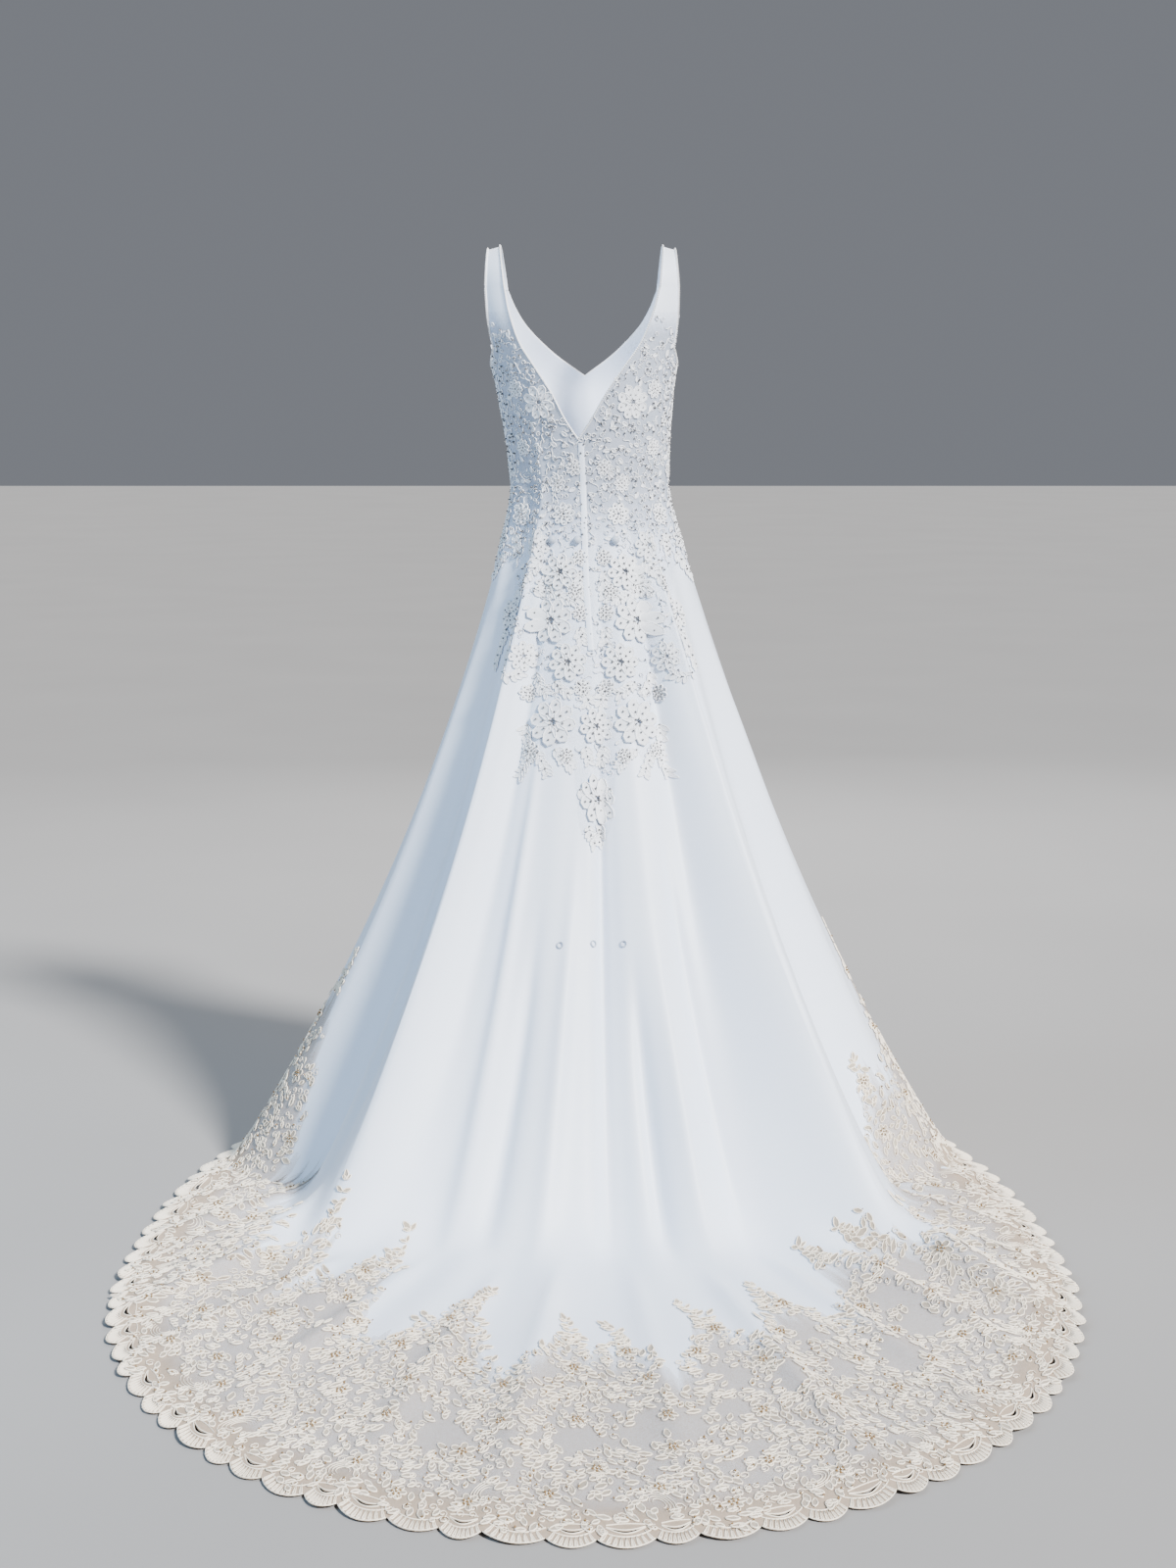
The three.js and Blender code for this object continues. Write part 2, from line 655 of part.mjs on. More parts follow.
// A place on the back's cloth, on whichever panel has it.
function clothPlace(angle, level) {
  const seam = between(grids.back_right, 0, rowAtLevel(grids.back_right, 0, level)).angle;
  const grid = angle > seam ? grids.back_right : grids.back_left;
  const { column, row } = locate(grid, angle, level);
  return between(grid, column, row);
}

function petalSolid(centre, heart, rim, low, high) {
  const positions = [];
  const face = (lift, outward) => (a, b, c) => {
    const corners = outward ? [a, b, c] : [a, c, b];
    corners.forEach((place) => positions.push(...lifted(place, lift(place)).toArray()));
  };
  const crown = (place) => {
    if (place === centre) return high;
    return mix(low, high, heart.includes(place) ? 0.9 : 0.6);
  };
  const top = face(crown, true);
  const under = face(() => low, false);
  const next = (list, i) => list[(i + 1) % list.length];
  heart.forEach((inner, i) => {
    const tip = rim[2 * i];
    const notch = rim[2 * i + 1];
    const nextTip = next(rim, 2 * i + 1);
    for (const side of [top, under]) {
      side(centre, inner, next(heart, i));
      side(inner, tip, notch);
      side(inner, notch, next(heart, i));
      side(next(heart, i), notch, nextTip);
    }
  });
  rim.forEach((place, i) => {
    const [a, b] = [lifted(place, crown(place)), lifted(place, low)];
    const [c, d] = [lifted(next(rim, i), crown(next(rim, i))), lifted(next(rim, i), low)];
    for (const corner of [a, b, d, a, d, c]) positions.push(...corner.toArray());
  });
  return weld(positions);
}

// Lace over the bodice. Its lower edge falls in lobes.
function bodiceLace(name, grid, split, topRow) {
  const lowest = (column) => {
    const angle = unsigned(between(grid, column, grid[0].length / 2).angle);
    return rowAtLevel(grid, column, read(BODICE_LACE_EDGE, "angle", angle, "height"));
  };
  const columns = (grid.length - 1) * split;
  const lastRows = Array.from({ length: columns + 1 }, (_, j) => lowest(j / split));
  const rows = Math.ceil(Math.max(...lastRows));
  const places = patch(grid, split, rows, () => topRow, lowest);
  piece(name, wallOver(places, SEAM_GAP, SEAM_GAP + LACE), WHITE_LACE);
}

// The lace border of a panel: sprays climb the cloth, and each column ends in scallops beyond the cloth's hem.
function hemBorder(name, grid, withEyelets) {
  const split = SCALLOPS_PER_COLUMN;
  const valley = clothRows(grid) + 1;
  const first = (column) => {
    const angle = unsigned(between(grid, column, valley).angle);
    const rise = SPRAY_SHAPE[Math.round(column * split) % SPRAY_SHAPE.length];
    const depth = mix(read(HEM_LACE, "angle", angle, "dip"), read(HEM_LACE, "angle", angle, "tip"), rise);
    return rowFromEdge(grid, column, depth);
  };
  const places = patch(grid, split, valley, first, () => valley);
  const arc = (j) =>
    SCALLOP_ARC.map((share) => between(grid, (j + share) / split, valley + Math.sin(share * Math.PI) ** 0.7));
  const arcs = Array.from({ length: (grid.length - 1) * split }, (_, j) => arc(j));
  const wall = wallOver(places, HEM_LIFT, HEM_LIFT + LACE, arcs);
  if (!withEyelets) return piece(name, wall, IVORY_LACE);
  const cut = arcs.map((_, j) => toSolid(eyelet(grid, j, split, valley)));
  return piece(name, fromSolid(cut.reduce((lace, hole) => lace.subtract(hole), toSolid(wall))), IVORY_LACE);
}

function eyelet(grid, scallop, split, valley) {
  const places = Array.from({ length: EYELET.steps + 1 }, (_, i) => {
    const share = i / EYELET.steps;
    const column = (scallop + mix(EYELET.from, EYELET.to, share)) / split;
    const bow = Math.sin(share * Math.PI);
    const row = valley - 1 + EYELET.base + bow * EYELET.bow;
    return [between(grid, column, row), between(grid, column, row + bow * EYELET.width)];
  });
  return wallOver(places, -6, 8);
}

// Straps, from the front foot over the shoulder to the back foot.
function strap(name, side) {
  const inner = NECK_BACK.at(-1).across;
  const outer = ARMHOLE.at(-1).across;
  const at = (share, turn) => {
    const crest = Math.sin(turn * Math.PI);
    const edges = [inner + STRAP.neckTaper * crest, outer - STRAP.armTaper * crest];
    const across = side * mix(...edges, side > 0 ? share : 1 - share);
    const foot = dressPoint(side * angleAcross(Math.abs(across), STRAP_FOOT_HEIGHT), STRAP_FOOT_HEIGHT);
    const rise = STRAP.rise - STRAP.outerDrop * (side > 0 ? share : 1 - share);
    const z = STRAP_FOOT_HEIGHT + SEAM_GAP + rise * crest;
    const shift = read(SWAY, "height", z, "shift") - read(SWAY, "height", STRAP_FOOT_HEIGHT, "shift");
    return new THREE.Vector3(foot.x + shift, foot.y * Math.cos(turn * Math.PI), z);
  };
  const place = (share, turn) => {
    const down = at(share, turn - 0.01).sub(at(share, turn + 0.01));
    const around = at(share + 0.01, turn).sub(at(share - 0.01, turn));
    return { point: at(share, turn), normal: down.cross(around).normalize() };
  };
  const places = evenShares(STRAP.columns).map((share) =>
    evenShares(STRAP.rows).map((step) => place(share, 1 - step)),
  );
  piece(name, wallOver(places, -CLOTH, 0), SATIN);
}

// The lap over the zip: a narrow strip on the right edge of centre back.
function zipLap(grid, lift) {
  const firstRow = rowAtLevel(grid, 0, NECK_BACK_HEIGHT - 6);
  const lastRow = rowAtLevel(grid, 0, ZIP_END_HEIGHT);
  const rows = [firstRow];
  for (let row = Math.ceil(firstRow + 0.05); row < lastRow; row++) rows.push(row);
  rows.push(lastRow);
  const edges = [0, 1].map((side) =>
    rows.map((row) => {
      const width = between(grid, 0, row).point.distanceTo(between(grid, 1, row).point);
      return between(grid, (side * ZIP_LAP.width) / width, row);
    }),
  );
  piece("zip_lap", wallOver(edges, lift, lift + ZIP_LAP.thickness), SATIN);
}

// Small sewn-on things stand on the cloth along its normal.
function standOn(mesh, { point, normal }, lift) {
  mesh.position.copy(point).addScaledVector(normal, lift);
  mesh.quaternion.setFromUnitVectors(new THREE.Vector3(0, 0, 1), normal);
}

function bare(geometry) {
  const positions = geometry.index ? geometry.toNonIndexed() : geometry;
  return weld([...positions.getAttribute("position").array]);
}

const spotAcross = (across, height) =>
  clothPlace(Math.asin(across / skirtRadius(0, 1 - height / WAIST_HEIGHT)) / RAD, height);

// The pieces.
for (const part of ["back", "side"]) {
  for (const side of ["right", "left"]) {
    const grid = grids[`${part}_${side}`];
    panel(`${part}_panel_${side}`, grid);
    bodiceLace(`bodice_lace_${part}_${side}`, grid, part === "back" ? 2 : 1, part === "back" ? 2 : 0);
    hemBorder(`hem_lace_${part}_${side}`, grid, true);
  }
}
panel("front_panel", grids.front);
bodiceLace("bodice_lace_front", grids.front, 1, 1);
hemBorder("hem_lace_front", grids.front, false);
strap("strap_right", 1);
strap("strap_left", -1);
zipLap(grids.back_right, 2 * SEAM_GAP + LACE);
FLOWERS.forEach((spec, i) => {
  flower(`lace_flower_right_${i + 1}`, spec);
  flower(`lace_flower_left_${i + 1}`, { ...spec, angle: -spec.angle });
});
CENTRE_FLOWERS.forEach(({ name, ...spec }) => flower(name, { angle: 0, ...spec }));

const sides = ["left", "middle", "right"];
sides.forEach((side, i) => {
  const spot = spotAcross(BUTTON.across[i], BUTTON.height);
  const dome = new THREE.SphereGeometry(BUTTON.diameter / 2, 9, 5).scale(1, 1, BUTTON.rise / BUTTON.diameter);
  const lift = 2 * SEAM_GAP + LACE + BUTTON.rise / 2;
  standOn(piece(`button_${side}`, bare(dome), SATIN), spot, lift);
});
sides.forEach((side, i) => {
  const spot = spotAcross(LOOP.shift + (i - 1) * LOOP.spacing, LOOP.height);
  const ring = new THREE.TorusGeometry((LOOP.diameter - LOOP.cord) / 2, LOOP.cord / 2, 5, 9);
  standOn(piece(`loop_${side}`, bare(ring), SATIN), spot, LOOP.lift + LOOP.cord / 2);
});

export default dress;
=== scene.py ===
# %% [markdown]
# # A wedding dress with a chapel train
# The dress is cut from a heavy white satin: two back panels, two side panels and a front, which run from
# the neck to the hem without a waist seam. Beaded, corded lace covers the bodice and falls in lobes over
# the hips, and a deep lace border with a scalloped edge lies along the hem. It stands hollow, as it is worn.
#
# One formula gives every point of the cloth, from an angle round the body and a level. The satin, the net,
# the cords and the beads are all placed with it, so that each layer lies on the one below. A cloth simulation
# could drape the satin too, but then the lace would have to be fitted to the result afterwards.

# %% Load the shared frame
import math

import bmesh
import bpy
import numpy as np
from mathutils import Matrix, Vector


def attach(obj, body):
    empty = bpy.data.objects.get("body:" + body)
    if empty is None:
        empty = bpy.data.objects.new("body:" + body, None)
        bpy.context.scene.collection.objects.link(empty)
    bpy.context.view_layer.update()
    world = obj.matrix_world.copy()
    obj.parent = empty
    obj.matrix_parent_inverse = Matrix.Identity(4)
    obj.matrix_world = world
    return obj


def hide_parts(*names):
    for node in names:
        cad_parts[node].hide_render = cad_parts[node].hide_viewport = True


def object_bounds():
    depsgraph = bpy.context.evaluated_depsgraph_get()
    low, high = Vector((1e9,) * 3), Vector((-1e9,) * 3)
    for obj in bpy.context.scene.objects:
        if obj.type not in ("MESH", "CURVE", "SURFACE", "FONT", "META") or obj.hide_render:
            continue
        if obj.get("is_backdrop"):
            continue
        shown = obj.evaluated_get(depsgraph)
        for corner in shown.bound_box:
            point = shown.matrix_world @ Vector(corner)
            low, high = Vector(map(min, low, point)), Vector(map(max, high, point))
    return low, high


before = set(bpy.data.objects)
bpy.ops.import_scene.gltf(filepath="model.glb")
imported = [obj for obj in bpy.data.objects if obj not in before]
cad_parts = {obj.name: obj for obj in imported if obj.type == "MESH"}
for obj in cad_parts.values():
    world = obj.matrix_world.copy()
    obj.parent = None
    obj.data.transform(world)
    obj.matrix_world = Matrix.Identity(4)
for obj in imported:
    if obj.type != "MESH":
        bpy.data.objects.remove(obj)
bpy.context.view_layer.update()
chance = np.random.default_rng(7)

# %% [markdown]
# ## The form of the cloth
# A garment's shape comes from its cut. The bodice is a stack of oval sections; below the waist the skirt
# flares to where it first meets the floor, and its folds are ridges and valleys that grow on the way down.
# Beyond the floor line the same curve carries on as the train. A level is a height above the floor, and it
# runs on below zero along the train. Angles are degrees from centre back towards +X. All sizes are metres.

# %% Sizes of the dress
SHOULDER = 1.474
WAIST = 1.110
STRAP_FOOT = 1.410
NECK_BACK_LOW = 1.178
NECK_FRONT_LOW = 1.275
ZIP_END = 0.856
CLOTH = 0.002
SEAM_GAP = 0.0003
SEAM_OPEN = 0.00004
PRINCESS = 40
SIDE_FRONT = 110
CLOTH_HEM_INSET = 0.065
SCALLOP_DEPTH = 0.022
SATIN_WALL = 0.0016
# the hem's plan: half width, how far behind it is widest, reach behind and before that, squareness of both
HEM_HALF_WIDTH, HEM_WIDEST, HEM_BACK, HEM_FRONT = 0.684, 0.550, 0.874, 1.070
HEM_BACK_POWER, HEM_FRONT_POWER = 2.0, 2.4
# where the skirt first meets the floor: half width, depth behind, depth in front, squareness
CONTACT = (0.585, 0.545, 0.505, 2.3)
# bust shaping: angle from centre front and its spread, height and its spread, fullness
CUP_ANGLE, CUP_SPREAD, CUP_HEIGHT, CUP_TALL, CUP_FULLNESS = 33, 24, 1.262, 0.055, 0.011
# flare of the skirt: the straight share, the share that opens towards the floor, its power, ease at the waist
FLARE_STRAIGHT, FLARE_OPENING, FLARE_POWER, WAIST_EASE = 0.66, 0.34, 2.4, 0.03
# how softly the cloth bends onto the floor in front and behind, and the degrees between the two
BEND_FRONT, BEND_BACK, BEND_BLEND = 0.016, 0.060, 60

# height, half width, depth behind, depth in front, squareness
TORSO = np.array([
    (1.110, 0.123, 0.092, 0.100, 2.1),
    (1.160, 0.126, 0.098, 0.110, 2.1),
    (1.210, 0.131, 0.106, 0.124, 2.1),
    (1.260, 0.138, 0.112, 0.138, 2.15),
    (1.300, 0.146, 0.113, 0.134, 2.25),
    (1.340, 0.156, 0.110, 0.121, 2.4),
    (1.380, 0.163, 0.103, 0.107, 2.6),
    (1.410, 0.167, 0.095, 0.095, 2.7),
])
# height, shift to the right
SWAY = np.array([
    (-1.2, 0.020), (0.0, 0.020), (0.6, 0.022), (0.9, 0.019), (1.11, 0.013), (1.3, 0.004), (1.474, 0.0),
])
# height, distance from the middle
NECK_BACK = np.array([
    (1.178, 0.0), (1.210, 0.021), (1.250, 0.043), (1.290, 0.070), (1.325, 0.093), (1.370, 0.110),
    (1.410, 0.1195),
])
NECK_FRONT = np.array([(1.275, 0.0), (1.310, 0.048), (1.350, 0.088), (1.380, 0.107), (1.410, 0.1195)])
ARMHOLE = np.array([(1.320, 0.139), (1.340, 0.143), (1.370, 0.1465), (1.410, 0.1485)])
# height, angle
PRINCESS_SEAM = np.array([(0.9, 40), (1.11, 42), (1.2, 50), (1.26, 58), (1.32, 68)])
CENTRE_LEAN = np.array([
    (0.76, -11), (0.86, -11), (1.0, -9.2), (1.11, -9), (1.178, -8.4), (1.25, -5), (1.33, -2), (1.41, 0),
])
# angle, height
UNDERARM = np.array([(68, 1.320), (80, 1.298), (90, 1.290), (100, 1.294), (110, 1.306)])
# angle, spread, how far out the fold moves the cloth where it meets the floor
FOLDS = [
    (40, 9, 0.138), (67, 12, -0.105), (92, 13, 0.018), (27, 6, -0.026), (15, 6, 0.016), (5, 4, -0.020),
    (-13, 8, 0.010), (-26, 7, -0.016), (-39, 10, 0.084), (-63, 12, -0.095), (-84, 10, 0.024),
    (128, 11, 0.020), (152, 10, -0.022), (178, 12, 0.016), (-155, 10, -0.020), (-130, 11, 0.022),
]
# angle, spread, height of a roll of cloth on the floor
TRAIN_ROLLS = [
    (43, 5, 0.046), (58, 6, 0.020), (32, 5, 0.018), (19, 5, 0.014), (8, 5, 0.010),
    (-6, 5, 0.012), (-18, 5, 0.012), (-29, 5, 0.016), (-46, 5, 0.042), (-60, 6, 0.020),
]
# angle at the middle, degrees of drift for each metre down, spread, middle level, half length, depth
CREASES = [
    (42, -4, 3.0, 0.56, 0.46, 0.017), (50, -5, 4.0, 0.46, 0.40, -0.017), (31, -3, 4.5, 0.60, 0.36, -0.019),
    (24, 0, 3.0, 0.20, 0.34, -0.017), (17, 2, 3.0, 0.08, 0.28, 0.018), (11, 3, 2.4, 0.10, 0.24, -0.022),
    (2, 1, 2.6, 0.28, 0.40, -0.022), (-41, 4, 3.0, 0.60, 0.46, 0.014), (-49, 5, 4.0, 0.45, 0.38, -0.014),
    (-32, 3, 4.5, 0.56, 0.40, -0.015), (-8, -3, 3.0, 0.14, 0.34, 0.014), (-17, -2, 3.0, 0.10, 0.30, -0.018),
    (-23, 2, 3.0, 0.30, 0.36, 0.014), (-57, 0, 5.0, 1.06, 0.09, -0.004), (-72, 0, 5.0, 1.03, 0.11, 0.004),
    (60, 0, 5.0, 1.07, 0.08, -0.003), (74, 0, 5.0, 1.02, 0.10, 0.003), (80, 0, 4.0, 0.50, 0.35, 0.012),
    (-76, 0, 4.0, 0.50, 0.35, 0.012), (-92, 0, 4.0, 0.40, 0.35, -0.012), (100, 0, 4.0, 0.40, 0.35, -0.012),
    (140, 0, 4.5, 0.40, 0.45, 0.014), (165, 0, 4.5, 0.42, 0.45, -0.012), (-168, 0, 4.5, 0.36, 0.40, 0.012),
    (-142, 0, 4.5, 0.42, 0.45, -0.014), (118, 0, 4.0, 0.44, 0.40, -0.010), (-117, 0, 4.0, 0.40, 0.40, 0.010),
]
# angle, spread, height of a soft ridge that runs out along the train
TRAIN_RIDGES = [
    (-77, 3.0, 0.010), (-67, 2.6, 0.018), (-58, 2.0, 0.014), (-50, 1.9, 0.020), (-42, 1.9, 0.016),
    (-34, 1.7, 0.013), (-24, 1.8, 0.011), (-13, 1.7, 0.010), (-5, 1.5, 0.012), (5, 1.8, 0.009),
    (15, 1.6, 0.013), (25, 1.7, 0.012), (33, 1.7, 0.014), (41, 1.9, 0.016), (49, 2.0, 0.020),
    (57, 2.1, 0.014), (67, 2.6, 0.016), (78, 3.0, 0.010),
]
# shares of the way along the train where the ridges are full and where they start to fade, and the fade
RIDGE_FULL, RIDGE_FADES, RIDGE_FADE = 0.2, 0.5, 0.8
LEAST_TRAIN = 0.06
print("folds", len(FOLDS), "creases", len(CREASES), "train ridges", len(TRAIN_RIDGES))


# %% Curves and sections
def read(table, key, column=1):
    """A smooth curve through a table's rows."""
    keys, values = table[:, 0], table[:, column]
    at = np.arange(len(keys))
    before, after = np.maximum(at - 1, 0), np.minimum(at + 1, len(keys) - 1)
    slope = (values[after] - values[before]) / (keys[after] - keys[before])
    key = np.clip(key, keys[0], keys[-1])
    i = np.clip(np.searchsorted(keys, key) - 1, 0, len(keys) - 2)
    span = keys[i + 1] - keys[i]
    t = (key - keys[i]) / span
    ease = t * (1 - t) * span * ((1 - t) * slope[i] - t * slope[i + 1])
    return values[i] + (values[i + 1] - values[i]) * smooth(t) + ease


def smooth(t):
    return t * t * (3 - 2 * t)


def mix(a, b, t):
    return a + (b - a) * t


def wrap(angle):
    return (angle + 180) % 360 - 180


def bell(x):
    return 1 / (1 + x * x) ** 2


def halve(outside, low, high):
    """Where a test turns true, by halving, for whole arrays."""
    for _ in range(44):
        middle = (low + high) / 2
        past = outside(middle)
        low, high = np.where(past, low, middle), np.where(past, middle, high)
    return (low + high) / 2


def oval_radius(angle, half_width, back, front, power):
    across = np.abs(np.sin(np.radians(angle))) / half_width
    along = np.cos(np.radians(angle))
    deep = np.abs(along) / np.where(along > 0, back, front)
    return (across ** power + deep ** power) ** (-1 / power)


def torso_radius(angle, height):
    section = [read(TORSO, height, column) for column in (1, 2, 3, 4)]
    cup = (np.abs(wrap(angle - 180)) - CUP_ANGLE) / CUP_SPREAD
    bust = CUP_FULLNESS * np.exp(-cup ** 2 - ((height - CUP_HEIGHT) / CUP_TALL) ** 2)
    return oval_radius(angle, *section) + bust


def hem_outside(angle, radius):
    """True where a place on the floor is beyond the hem."""
    y = -radius * np.cos(np.radians(angle)) + HEM_WIDEST
    power = np.where(y < 0, HEM_BACK_POWER, HEM_FRONT_POWER)
    x = np.abs(radius * np.sin(np.radians(angle))) / HEM_HALF_WIDTH
    return x ** power + (np.abs(y) / np.where(y < 0, HEM_BACK, HEM_FRONT)) ** power > 1


# %% The formula of the cloth
ROUND = np.linspace(-180, 180, 3601)
FLOOR_RADIUS = oval_radius(ROUND, *CONTACT)
for middle, spread, reach in FOLDS:
    FLOOR_RADIUS = FLOOR_RADIUS + reach * bell(wrap(ROUND - middle) / spread)
HEM_RADIUS = halve(lambda r: hem_outside(ROUND, r), np.full_like(ROUND, 0.3), np.full_like(ROUND, 1.6))
ROLLS = sum(height * bell(wrap(ROUND - middle) / spread) for middle, spread, height in TRAIN_ROLLS)
RIDGES = sum(height * bell(wrap(ROUND - middle) / spread) for middle, spread, height in TRAIN_RIDGES)


def round_value(values, angle):
    return np.interp(wrap(angle), ROUND, values)


def skirt_radius(angle, drop):
    waist = torso_radius(angle, WAIST)
    flare = FLARE_STRAIGHT * (np.hypot(drop, WAIST_EASE) - WAIST_EASE) + FLARE_OPENING * drop ** FLARE_POWER
    return waist + (round_value(FLOOR_RADIUS, angle) - waist) * flare


def dress_point(angle, level):
    """Points of the cloth's outer face, in the shared frame."""
    angle, level = np.broadcast_arrays(np.asarray(angle, float), np.asarray(level, float))
    on_body = level >= WAIST
    radius = np.where(
        on_body,
        torso_radius(angle, np.maximum(level, WAIST)),
        skirt_radius(angle, np.maximum(1 - level / WAIST, 0)),
    )
    start = round_value(FLOOR_RADIUS, angle)
    train = np.maximum(LEAST_TRAIN, round_value(HEM_RADIUS, angle) - start)
    share = np.clip((radius - start) / train, 0, 1)
    for middle, drift, spread, height, half, depth in CREASES:
        along = (level - height) / half
        across = wrap(angle - middle - drift * (height - level)) / spread
        radius = radius + depth * bell(across) * np.exp(-along ** 4)
    floor = CLOTH + SEAM_GAP + round_value(ROLLS, angle) * (1 - smooth(share))
    start_up = smooth(np.clip(share / RIDGE_FULL, 0, 1))
    die_out = 1 - RIDGE_FADE * smooth(np.clip((share - RIDGE_FADES) / (1 - RIDGE_FADES), 0, 1))
    floor = floor + round_value(RIDGES, angle) * start_up * die_out
    behind = smooth(np.clip((SIDE_FRONT - np.abs(wrap(angle))) / BEND_BLEND, 0, 1))
    bend = mix(BEND_FRONT, BEND_BACK, behind)
    height = np.where(on_body, level, (level + floor + np.hypot(level - floor, bend)) / 2)
    x = radius * np.sin(np.radians(angle)) + read(SWAY, level)
    y = -radius * np.cos(np.radians(angle))
    return np.stack([x, y, height - SHOULDER], -1)


def unit(vectors):
    return vectors / np.maximum(np.linalg.norm(vectors, axis=-1, keepdims=True), 1e-9)


def dress_frame(angle, level):
    """Directions round and up the cloth for each degree and metre of level, and the outward normal."""
    turn, rise = 0.3, 0.003
    round_by = (dress_point(angle + turn, level) - dress_point(angle - turn, level)) / (2 * turn)
    up_by = (dress_point(angle, level + rise) - dress_point(angle, level - rise)) / (2 * rise)
    return round_by, up_by, unit(np.cross(round_by, up_by))


def level_at_radius(angle, radius):
    least, most = np.full_like(angle, 0.3), np.full_like(angle, 3.0)
    drop = halve(lambda d: skirt_radius(angle, d) > radius, least, most)
    return WAIST * (1 - drop)


waist_side, train_end = dress_point(90, WAIST), dress_point(0, -0.9)
print("waist half width", round(float(waist_side[0]), 3), "train end", train_end.round(3))

# %% [markdown]
# ## How far along the hem
# A border is laid out by its length along the hem and its distance in from the edge. Two tables turn these
# into the angle and level of the formula.

# %% Tables of the hem
HEM_STEP = 0.01
HEM_DEGREE = 0.5
hem_angles = np.linspace(-180, 180, 721)
hem_levels = level_at_radius(hem_angles, round_value(HEM_RADIUS, hem_angles))
hem_points = dress_point(hem_angles, hem_levels)
hem_length = np.concatenate([[0], np.cumsum(np.linalg.norm(np.diff(hem_points, axis=0), axis=1))])
rise = np.linspace(0, 1.25, 500)
spokes = dress_point(hem_angles[:, None], hem_levels[:, None] + rise)
spoke_length = np.cumsum(np.linalg.norm(np.diff(spokes, axis=1), axis=2), axis=1)
depths = np.arange(0, 0.8, HEM_STEP)
depth_levels = np.array([
    np.interp(depths, np.concatenate([[0], length]), level + rise)
    for length, level in zip(spoke_length, hem_levels)
])


def level_from_edge(angle, depth):
    """The level at a distance along the cloth from the tips of the scallops."""
    i = (wrap(angle) + 180) / HEM_DEGREE
    k = np.clip(depth / HEM_STEP, -2, len(depths) - 1.001)
    i0 = np.clip(np.floor(i).astype(int), 0, len(hem_angles) - 2)
    k0 = np.clip(np.floor(k).astype(int), 0, len(depths) - 2)
    u, v = i - i0, k - k0
    near = mix(depth_levels[i0, k0], depth_levels[i0 + 1, k0], u)
    far = mix(depth_levels[i0, k0 + 1], depth_levels[i0 + 1, k0 + 1], u)
    return mix(near, far, v)


def even_hem_angles(first, last, shares):
    """Angles that share a stretch of the hem by its length."""
    ends = np.interp([wrap(first), wrap(last)], hem_angles, hem_length)
    if wrap(last) < wrap(first):
        ends[1] += hem_length[-1]
    at = mix(ends[0], ends[1], np.asarray(shares)) % hem_length[-1]
    return np.interp(at, hem_length, hem_angles)


print("hem", round(float(hem_length[-1]), 2), "m round")

# %% [markdown]
# ## Materials
# The small class below wraps a socket, so that sums in a shader read as sums. Every other node comes from
# its one method.

# %% Shader helper
class Wire:
    """A value in a material's node tree."""

    def __init__(self, tree, socket=None):
        self.tree = tree
        self.socket = socket

    def node(self, kind, settings=None, inputs=None, output=0):
        made = self.tree.nodes.new(kind)
        for name, value in (settings or {}).items():
            setattr(made, name, value)
        for key, value in (inputs or {}).items():
            if isinstance(value, Wire):
                self.tree.links.new(value.socket, made.inputs[key])
            else:
                made.inputs[key].default_value = value
        return Wire(self.tree, made.outputs[output])

    def calc(self, operation, a, b=0.0):
        return self.node("ShaderNodeMath", {"operation": operation}, {0: a, 1: b})

    def __add__(self, other):
        return self.calc("ADD", self, other)

    __radd__ = __add__

    def __sub__(self, other):
        return self.calc("SUBTRACT", self, other)

    def __rsub__(self, other):
        return self.calc("SUBTRACT", other, self)

    def __mul__(self, other):
        return self.calc("MULTIPLY", self, other)

    __rmul__ = __mul__

    def blend(self, low, high):
        """A colour between two, by this value."""
        return self.node(
            "ShaderNodeMix", {"data_type": "RGBA"}, {0: self, 6: (*low, 1), 7: (*high, 1)}, output=2
        )


def new_material(name, values):
    """A material with constant values on its Principled shader."""
    material = bpy.data.materials.new(name)
    material.use_nodes = True
    shader = material.node_tree.nodes["Principled BSDF"]
    for key, value in values.items():
        shader.inputs[key].default_value = value
    return material, shader, Wire(material.node_tree)


def feed(shader, key, wire):
    wire.tree.links.new(wire.socket, shader.inputs[key])


def noise(start, where, scale, detail=2.0):
    return start.node("ShaderNodeTexNoise", None, {"Vector": where, "Scale": scale, "Detail": detail})


def stretch(start, where, factors):
    return start.node("ShaderNodeVectorMath", {"operation": "MULTIPLY"}, {0: where, 1: factors})


def bump(start, height, strength, distance):
    return start.node(
        "ShaderNodeBump", None, {"Strength": strength, "Distance": distance, "Height": height}
    )


# %% [markdown]
# The satin has a fine crosswise grain from its weft threads and a soft sheen. Its UV map is in metres along
# and across the cloth, so the grain follows each panel. The covered buttons and thread loops use object
# coordinates, because they are too small for a layout of their own, and a darker copy of the satin whose
# tones are painted shade.

# %% Satin
def satin_material(name, coordinates, tones):
    material, shader, start = new_material(
        name, {"Sheen Weight": 0.25, "Sheen Roughness": 0.4, "Specular IOR Level": 0.42}
    )
    where = start.node(*coordinates)
    weft = noise(start, stretch(start, where, (60.0, 900.0, 900.0)), 1.0)
    slub = noise(start, stretch(start, where, (9.0, 160.0, 160.0)), 1.0)
    cloud = noise(start, where, 5.0, 3.0)
    feed(shader, "Base Color", (cloud * 0.7 + slub * 0.3).blend(*tones))
    feed(shader, "Roughness", 0.40 + slub * 0.16)
    feed(shader, "Normal", bump(start, weft * 0.6 + slub * 0.4, 0.35, 0.0004))
    return material


